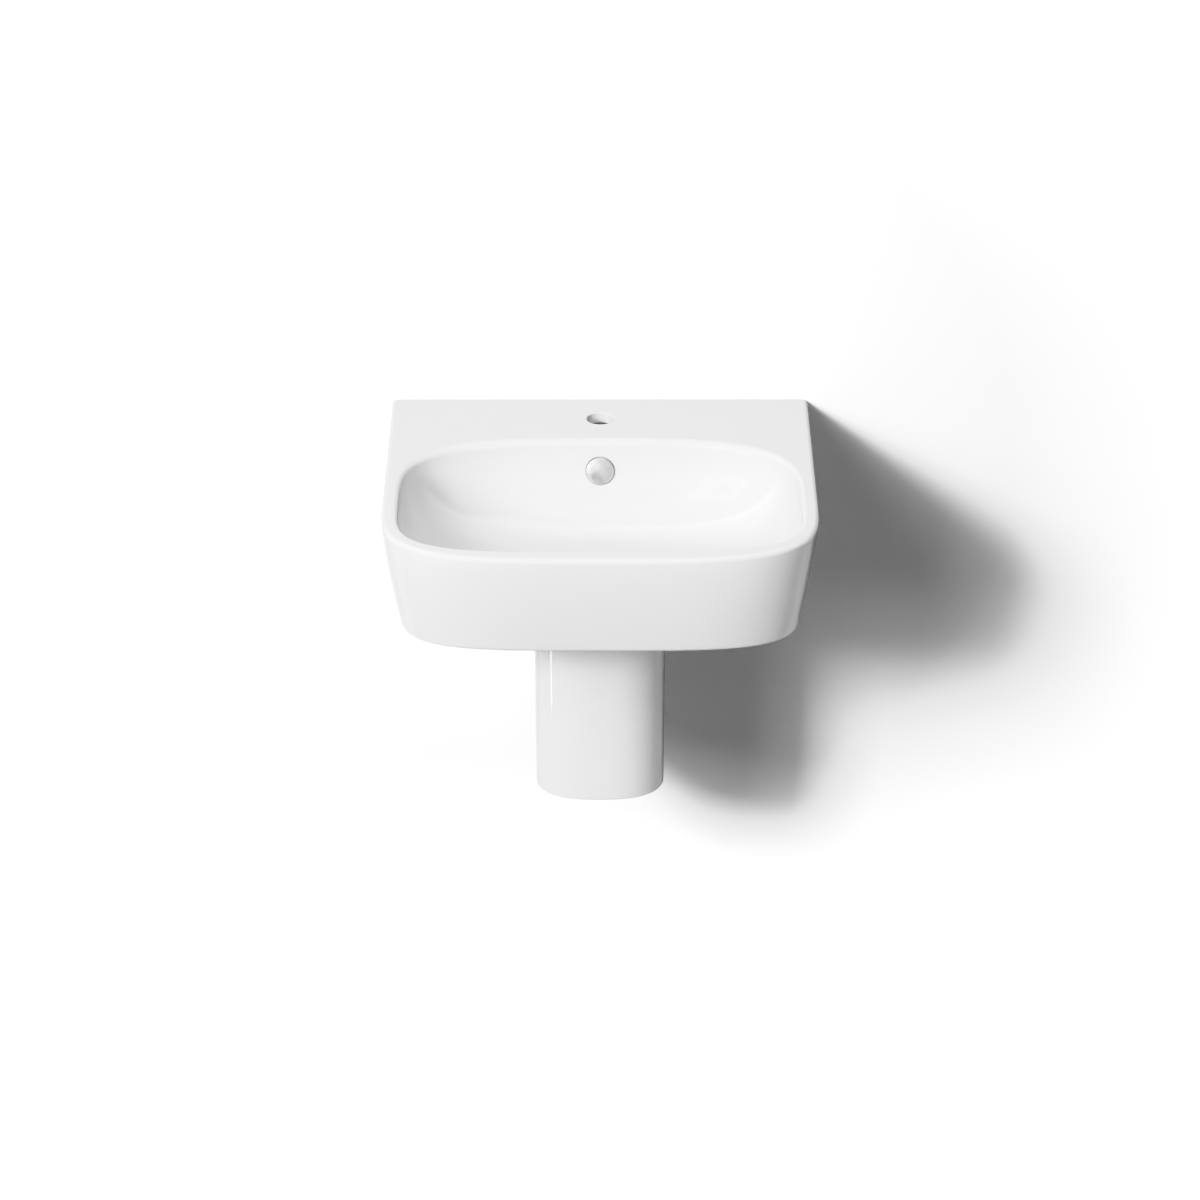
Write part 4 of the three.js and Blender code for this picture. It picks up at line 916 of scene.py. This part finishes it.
HEX_CHAMFER = radians(30)
HEX_BARREL = 0.98  # the chamfer's start, as a share of the half width over the flats
HEX_SINK = 0.6 * MM
SHANK_END = -7 * MM  # a hanger bolt's plain shank ends this far inside the wall
MACHINE_START = 4 * MM
WOOD_PITCH = 3.5 * MM
GROOVE_HALF_WIDTH = 0.7 * MM
GROOVE_DEPTH = 1.2 * MM


def refine(node, place, edge, angle=-90):
    """A CAD node turned again, smoother, with its edges rounded."""
    return spin(node, rounded(half_section(node, place, angle), edge), place, 96)


def wall_frame_of(node):
    """The frame of a piece whose axis points off the wall, through the middle of its box."""
    low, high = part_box(node)
    return off_wall((low.x + high.x) / 2, (low.z + high.z) / 2)


def span_of(node, place):
    """A node's lowest and highest point along an axis, and its greatest radius about it."""
    turned = [place.inverted() @ v.co for v in NODES[node].data.vertices]
    heights = [p.z for p in turned]
    return min(heights), max(heights), max(hypot(p.x, p.y) for p in turned)


def hex_nut(node, place, bore):
    """A hexagon with chamfered corners and a bore with thread run-outs."""
    bottom, top, corner = span_of(node, place)
    flats = corner * cos(pi / 6)
    nut = spin(node, solid(bottom, top, corner), place, 6)
    start, wide, mouth = flats * HEX_BARREL, corner + MM, bore / 2 + HEX_SINK + MM
    drop = (wide - start) * tan(HEX_CHAMFER)
    barrel = [(0, bottom), (start, bottom), (wide, bottom + drop), (wide, top - drop)]
    barrel += [(start, top), (0, top)]
    keep_common(nut, spin("barrel", barrel, place))
    hole = [(0, bottom - MM), (mouth, bottom - MM), (bore / 2, bottom + HEX_SINK)]
    hole += [(bore / 2, top - HEX_SINK), (mouth, top + MM), (0, top + MM)]
    return cut(nut, spin("bore", hole, place, 48))


RIB_SUNK = 1.5 * MM
RIB_PROUD = 1.6 * MM
RIB_HALF_WIDTH = 1.8 * MM
RIB_EDGE = 1.1 * MM


def grip_ribs(piece, place, count, radius, bottom, top):
    """Rounded ribs round the outside, for a hand or a strap wrench."""
    for i in range(count):
        inner, outer = radius - RIB_SUNK, radius + RIB_PROUD
        rib = bar("rib", inner, outer, RIB_HALF_WIDTH, bottom, top, RIB_EDGE)
        rib.data.transform(place @ Matrix.Rotation(2 * pi * i / count, 4, "Z"))
        join(piece, rib)
    return piece


def union_nut(node, place, lip_at_bottom):
    bottom, top, _ = span_of(node, place)
    nut = refine(node, place, 0.7 * MM)
    radius = max(hypot(*(place.inverted() @ v.co).xy) for v in nut.data.vertices)
    low, high = (4 * MM, 2 * MM) if lip_at_bottom else (2 * MM, 4 * MM)
    return grip_ribs(nut, place, 10, radius, bottom + low, top - high)


def hanger_bolt(node, place, thread, pitch):
    """A wood screw to one side of its plain shank and a machine thread to the other."""
    bottom, top, _ = span_of(node, place)
    core = thread / 2
    wood, point, wood_end = core * 0.8, bottom + 2 * thread, SHANK_END - 2 * MM
    outline = [(0, bottom), (core * 0.25, bottom + MM), (wood, point), (wood, SHANK_END - MM)]
    outline += [(core, SHANK_END + MM), (core, top - 1.2 * MM), (core - MM, top), (0, top)]
    outline = rounded(outline, 0.4 * MM, 2)
    outline = with_rows(outline, core, MACHINE_START, top - MM, pitch / 8)
    outline = with_rows(outline, wood, point, wood_end, WOOD_PITCH / 10)
    machine = thread_relief(core, MACHINE_START, top - 1.5 * MM, pitch, 0.55 * pitch)
    screw = thread_relief(wood, point, wood_end, WOOD_PITCH, 0.9 * MM)
    return spin(node, outline, place, 40, lambda r, h, a: machine(r, h, a) + screw(r, h, a))


for side in ("left", "right"):
    for fixing, thread, pitch in (("basin", 10 * MM, 1.5 * MM), ("pedestal", 8 * MM, 1.25 * MM)):
        place = wall_frame_of(f"{fixing}_bolt_{side}")
        bolt, sleeve = f"{fixing}_bolt_{side}", f"{fixing}_sleeve_{side}"
        ring, nut = f"{fixing}_washer_{side}", f"{fixing}_nut_{side}"
        dress(hanger_bolt(bolt, place, thread, pitch), bolt, ZINC, 40)
        dress(refine(sleeve, place, 0.5 * MM), sleeve, NYLON)
        dress(refine(ring, place, 0.35 * MM), ring, ZINC)
        dress(hex_nut(nut, place, thread + 0.8 * MM), nut, ZINC)
    buffer = f"pedestal_buffer_{side}"
    low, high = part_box(buffer)
    pad = box_mesh(buffer, low, high, 0.9 * MM)
    for i in range(1, 6):
        y = lerp(low.y, high.y, i / 6)
        groove_low = (low.x - MM, y - GROOVE_HALF_WIDTH, high.z - GROOVE_DEPTH)
        groove_high = (high.x + MM, y + GROOVE_HALF_WIDTH, high.z + MM)
        cut(pad, box_mesh("groove", groove_low, groove_high))
    dress(pad, buffer, RUBBER)

dress(refine("overflow_insert", AT_OVERFLOW, 0.4 * MM), "overflow_insert", PLASTIC)


COVER_STAND_OFF = 2.2 * MM
COVER_CROWN = 1.6 * MM
COVER_UNDER_EDGE = 0.9 * MM
PILLOW = 0.7 * MM  # radius of the cover's soft edge
LEG_BORE = OVERFLOW_HOLE / 2 - 1.9 * MM
LEG_HALF_WIDTH = 2.4 * MM


def overflow_cover():
    """A crowned disc with a pillowed edge, on three sprung legs with snap lips."""
    bottom, top, radius = span_of("overflow_cap", AT_OVERFLOW)
    disc_bottom = COVER_STAND_OFF
    shoulder = top - COVER_CROWN
    flat = radius - COVER_UNDER_EDGE
    under_edge = reversed(quarter_round(COVER_UNDER_EDGE, 5))
    outline = [(0, disc_bottom), (flat, disc_bottom)]
    outline += [(flat + a, disc_bottom + b) for b, a in under_edge]
    outline += [(radius - inset, shoulder - short) for inset, short in quarter_round(PILLOW, 10)]
    for step in range(1, 9):
        share = 1 - step / 8
        across = (radius - PILLOW) * share
        outline.append((across, shoulder + COVER_CROWN * (1 - share**2)))
    disc = spin("overflow_cap", outline, AT_OVERFLOW, 128)
    for i in range(3):
        inner, outer, leg_top = LEG_BORE - 2.8 * MM, LEG_BORE - 1.4 * MM, disc_bottom + MM
        leg = bar("leg", inner, outer, LEG_HALF_WIDTH, bottom, leg_top, 0.4 * MM)
        inner, outer = LEG_BORE - 2.3 * MM, LEG_BORE - 0.8 * MM
        low, high = bottom + 0.2 * MM, bottom + 2.2 * MM
        barb = bar("barb", inner, outer, LEG_HALF_WIDTH, low, high, 0.5 * MM)
        join(leg, barb)
        turn = Matrix.Rotation(2 * pi * i / 3 + pi / 2, 4, "Z")
        leg.data.transform(AT_OVERFLOW @ turn)
        join(disc, leg)
    return disc


overflow_disc = overflow_cover()
dress(overflow_disc, "overflow_cap", SATIN)


# ---- waste and click stopper

WASTE_THREAD = 41.9 * MM
WASTE_WALL = 3.2 * MM
WASTE_PITCH = 2.309 * MM
WASTE_THREAD_DEPTH = 1.1 * MM
WASTE_PLAIN = 14 * MM  # how far down the thread starts
FLANGE = 3 * MM
SEAT_DROP = 6 * MM
SPIDER_DROP = 50 * MM
SPIDER_THICK = 4 * MM
STUD_HOLE = 6.8 * MM
WATERWAY = 11 * MM
WATERWAY_REACH = 10.8 * MM
STOPPER_LAP = 2.75 * MM
SPRING_WIRE = 0.6 * MM
SPRING_TURNS = 7


def waste_body():
    """Flange, threaded tail with four overflow slots, and the spider that holds the stopper."""
    top, bottom = waste_high.z, waste_low.z
    flange, thread = (waste_high.x - waste_low.x) / 2, WASTE_THREAD / 2
    bore = thread - WASTE_WALL
    pocket, seat = bore + STOPPER_LAP + 0.4 * MM, top - SEAT_DROP
    outline = [(bore, bottom), (thread, bottom), (thread, seat), (thread + 2.2 * MM, top - FLANGE)]
    outline += [(flange, top - FLANGE), (flange, top - MM), (flange - 1.2 * MM, top)]
    outline += [(pocket + MM, top), (pocket, top - MM), (pocket, seat), (bore, seat)]
    thread_top = top - WASTE_PLAIN
    outline = rounded(outline, 0.45 * MM)
    outline = with_rows(outline, thread, bottom, thread_top, WASTE_PITCH / 8)
    threads = (thread, bottom + 0.5 * MM, thread_top, WASTE_PITCH, WASTE_THREAD_DEPTH)
    body = spin("waste_body", outline, ON_DRAIN, 128, thread_relief(*threads))
    spider = top - SPIDER_DROP
    low, high = spider - SPIDER_THICK, spider
    join(body, cylinder("spider", 2 * bore + MM, low, high, ON_DRAIN))
    for turn in (0, pi / 2):
        slot_low = (-6 * MM, -WASTE_THREAD, DUCT_Z - 6 * MM)
        slot = box_mesh("slot", slot_low, (6 * MM, WASTE_THREAD, DUCT_Z + 7 * MM), 2.5 * MM)
        slot.data.transform(ON_DRAIN @ Matrix.Rotation(turn, 4, "Z"))
        cut(body, slot)
    for i in range(4):
        bearing = pi / 2 * i + pi / 4
        x, y = WATERWAY_REACH * cos(bearing), WATERWAY_REACH * sin(bearing)
        at = Matrix.Translation((x, DRAIN_Y + y, 0))
        cut(body, cylinder("way", WATERWAY, low - MM, high + MM, at))
    return cut(body, cylinder("stud", STUD_HOLE, low - MM, high + MM, ON_DRAIN))


def stopper_spring():
    """A wire spring with closed ends."""
    low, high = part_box("stopper_spring")
    wire, turns, per_turn, around = SPRING_WIRE, SPRING_TURNS, 40, 12
    radius = (high.x - low.x) / 2 - wire
    steps = turns * per_turn
    rings = []
    for i in range(steps + 1):
        turn = 2 * pi * i / per_turn
        rise = clamp((i / steps * turns - 1) / (turns - 2))
        z = lerp(low.z + wire, high.z - wire, rise)
        out = Vector((cos(turn), sin(turn), 0))
        centre = Vector((0, DRAIN_Y, z)) + radius * out
        rings.append([
            centre + wire * (cos(a) * out + sin(a) * Vector((0, 0, 1)))
            for a in (2 * pi * k / around for k in range(around))
        ])
    return loft("stopper_spring", rings)


dress(waste_body(), "waste_body", CHROME, 40)
spring = dress(stopper_spring(), "stopper_spring", STAINLESS, 60)
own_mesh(spring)
for node, edge, look in (
    ("waste_flange_seal", 0.5, RUBBER),
    ("waste_gasket", 0.9, RUBBER),
    ("waste_washer", 0.4, NYLON),
    ("stopper_cap", 1.2, CHROME),
    ("stopper_seal", 0.8, RUBBER),
    ("stopper_plunger", 0.4, STAINLESS),
    ("stopper_cartridge", 0.5, BRASS),
    ("cartridge_cap", 0.6, BRASS),
):
    dress(refine(node, ON_DRAIN, edge * MM), node, look)
dress(hex_nut("waste_backnut", ON_DRAIN, WASTE_THREAD + 0.8 * MM), "waste_backnut", BRASS)
dress(hex_nut("cartridge_nut", ON_DRAIN, STUD_HOLE), "cartridge_nut", BRASS)


# ---- bottle trap

OUTLET_AXIS = wall_frame_of("trap_outlet_pipe")
OUTLET_Z = OUTLET_AXIS.translation.z
BRANCH = 40 * MM
BRANCH_START = 25.5 * MM
BRANCH_BORE = 28 * MM
BRANCH_SOCKET = 32.8 * MM
SOCKET_DEPTH = 12 * MM
TRAP_BORE = 48 * MM
RIBS_FROM, RIBS_TO = 12 * MM, 34 * MM  # above the cup's underside


def trap_body():
    """The body turned again, with the branch that its outlet pipe slides into."""
    body = refine("trap_body", ON_DRAIN, 0.9 * MM)
    branch_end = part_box("trap_body")[1].y
    along = axis_frame((0, 0, OUTLET_Z), (0, 1, 0))
    stub = solid(DRAIN_Y + BRANCH_START, branch_end, BRANCH / 2)
    branch = spin("branch", rounded(stub, 0.8 * MM), along)
    low, high = OUTLET_Z - 37 * MM, OUTLET_Z + 22 * MM
    join(body, cut(branch, cylinder("inside", TRAP_BORE, low, high, ON_DRAIN, 96)))
    end = branch_end + MM
    bore = cylinder("bore", BRANCH_BORE, DRAIN_Y + 12 * MM, end, along)
    return cut(body, bore, cylinder("socket", BRANCH_SOCKET, branch_end - SOCKET_DEPTH, end, along))


def trap_cup():
    cup = refine("trap_cup", ON_DRAIN, 1.2 * MM, -75)
    bottom = span_of("trap_cup", ON_DRAIN)[0]
    radius = max(hypot(v.co.x, v.co.y - DRAIN_Y) for v in cup.data.vertices)
    return grip_ribs(cup, ON_DRAIN, 12, radius, bottom + RIBS_FROM, bottom + RIBS_TO)


dress(trap_body(), "trap_body", CHROME)
dress(trap_cup(), "trap_cup", CHROME)
dress(union_nut("trap_inlet_nut", ON_DRAIN, True), "trap_inlet_nut", CHROME)
dress(union_nut("trap_collar_nut", ON_DRAIN, False), "trap_collar_nut", CHROME)
dress(union_nut("trap_outlet_nut", OUTLET_AXIS, True), "trap_outlet_nut", CHROME)
for node, place, edge, look in (
    ("trap_inlet_pipe", ON_DRAIN, 0.6, CHROME),
    ("trap_inlet_seal", ON_DRAIN, 0.6, RUBBER),
    ("trap_collar_seal", ON_DRAIN, 0.6, RUBBER),
    ("trap_cup_seal", ON_DRAIN, 0.6, RUBBER),
    ("trap_outlet_seal", OUTLET_AXIS, 0.6, RUBBER),
    ("trap_outlet_pipe", OUTLET_AXIS, 0.6, CHROME),
    ("wall_escutcheon", OUTLET_AXIS, 1.0, CHROME),
):
    dress(refine(node, place, edge * MM), node, look)


# ---- wall, floor and light

FLOOR_LEVEL = RIM_Z - 0.85  # the rim stands at its usual height above the floor
COVE = 0.30
WALL_TOP = 3.0
STAGE_REACH = 5.0
# Painted light: the sheet's own glow, faint near the basin and strong far from it, which whitens
# the wall where the lamps fall off.
PAINTED_WALL_GLOW = (0.025, 0.9)  # near the basin and far from it
PAINTED_GLOW_FROM = 0.55
PAINTED_GLOW_TO = 1.15


def pale_stage():
    """One pale sheet: the wall, a wide cove and the floor in front of it, with painted light: it
    glows by itself, faintly near the basin and strongly far from it.
    """
    profile = [(0, WALL_TOP), (0, FLOOR_LEVEL + COVE)]
    profile += [(-inset, FLOOR_LEVEL + short) for inset, short in quarter_round(COVE, 16)[1:]]
    profile.append((-STAGE_REACH, FLOOR_LEVEL))
    points = [(x, y, z) for y, z in profile for x in (-STAGE_REACH, STAGE_REACH)]
    faces = [(i, i + 2, i + 3, i + 1) for i in range(0, 2 * len(profile) - 2, 2)]
    sheet = mesh_object("wall_and_floor", points, faces)
    sheet.data.polygons.foreach_set("use_smooth", [True] * len(faces))
    look = Look("pale_wall", (0.93, 0.93, 0.93), 0.9)
    look.tint(look.noise(0.05, 3), (0.93, 0.93, 0.93), (0.95, 0.95, 0.95))
    # Painted light: the sheet's emission grows with its distance from the basin.
    far = look.node("ShaderNodeVectorMath", operation="LENGTH")
    look.link(look.coordinate, far.inputs[0])
    painted_glow = look.scaled(far.outputs["Value"], *PAINTED_WALL_GLOW, PAINTED_GLOW_FROM, PAINTED_GLOW_TO)
    look.shader.inputs["Emission Color"].default_value = (1, 1, 1, 1)
    look.link(painted_glow, look.shader.inputs["Emission Strength"])
    mixed = look.node("ShaderNodeMixShader")
    clear = look.node("ShaderNodeBsdfTransparent")
    look.link(look.node("ShaderNodeNewGeometry").outputs["Backfacing"], mixed.inputs["Fac"])
    look.link(look.shader.outputs["BSDF"], mixed.inputs[1])
    look.link(clear.outputs["BSDF"], mixed.inputs[2])
    look.link(mixed.outputs["Shader"], look.tree.nodes["Material Output"].inputs["Surface"])
    sheet.data.materials.append(look.material)
    sheet.visible_shadow = False
    sheet.visible_diffuse = False
    return sheet


MIDDLE = (0, -0.2, -0.05)
KEY = (-2.8, -4.0, 2.3)
WALL_KEY = (-2.5, -3.2, 1.94)


def soft_light(name, place, size, power, aim=MIDDLE, only=None, without=None, mirrored=True):
    """An area light; it can be kept to one object, kept off it, or kept out of reflections."""
    data = bpy.data.lights.new(name, "AREA")
    data.shape = "RECTANGLE"
    data.size, data.size_y = size
    data.energy = power
    light = put_in_scene(name, data)
    light.location = place
    light.visible_camera = False
    light.visible_glossy = mirrored
    light.rotation_euler = (Vector(aim) - Vector(place)).to_track_quat("-Z", "Y").to_euler()
    if only or without:
        receivers = bpy.data.collections.new(name + "_receivers")
        receivers.objects.link(only or without)
        light.light_linking.receiver_collection = receivers
        if without:
            receivers.collection_objects[0].light_linking.link_state = "EXCLUDE"


stage = pale_stage()
pedestal = bpy.data.objects["half_pedestal_fine"]
soft_light("wall_key", WALL_KEY, (0.9, 0.9), 265, only=stage)
soft_light("wall_key_soft", WALL_KEY, (2.4, 2.4), 150, only=stage)
soft_light("key", KEY, (1.6, 1.6), 265, without=stage, mirrored=False)
soft_light("key_sheen", KEY, (3.2, 3.2), 50, without=stage)
soft_light("cap_key", KEY, (1.6, 1.6), 300, only=overflow_disc)
soft_light("front_top", (0.1, -2.0, 2.5), (1.8, 1.2), 36, without=stage, mirrored=False)
soft_light("overhead", (0.3, 0.3, 2.3), (2.0, 1.4), 16, without=stage)
soft_light("front_card", (0.0, -3.6, 0.35), (1.8, 1.3), 7, without=stage)
soft_light("strip", (-0.7, -0.575, -0.556), (0.04, 0.12), 0.2, (-0.061, -0.29, -0.17), pedestal)
soft_light("behind", (-0.5, 3.4, -0.25), (2.0, 2.0), 90, without=stage)

ROOM_LIGHT = 0.115
BACKDROP = 1.6  # what the camera sees behind everything
world = bpy.data.worlds.new("studio")
world.use_nodes = True
nodes, link = world.node_tree.nodes, world.node_tree.links.new
room, backdrop = nodes["Background"], nodes.new("ShaderNodeBackground")
for background, strength in ((room, ROOM_LIGHT), (backdrop, BACKDROP)):
    background.inputs["Color"].default_value = (1, 1, 1, 1)
    background.inputs["Strength"].default_value = strength
choice, path = nodes.new("ShaderNodeMixShader"), nodes.new("ShaderNodeLightPath")
link(path.outputs["Is Camera Ray"], choice.inputs["Fac"])
link(room.outputs[0], choice.inputs[1])
link(backdrop.outputs[0], choice.inputs[2])
link(choice.outputs[0], nodes["World Output"].inputs["Surface"])
scene.world = world

# The picture's tones are linear up to a light grey, and then roll off softly towards white.
ROLL_OFF = ((0.3, 0.3), (0.6, 0.6), (0.8, 0.77), (1.0, 0.85), (1.2, 0.92))
WHITE_LEVEL = 1.45
view = scene.view_settings
view.view_transform = "Standard"
view.use_curve_mapping = True
view.curve_mapping.white_level = [WHITE_LEVEL] * 3
for scene_level, shown_level in ROLL_OFF:
    view.curve_mapping.curves[3].points.new(scene_level / WHITE_LEVEL, shown_level)
view.curve_mapping.update()
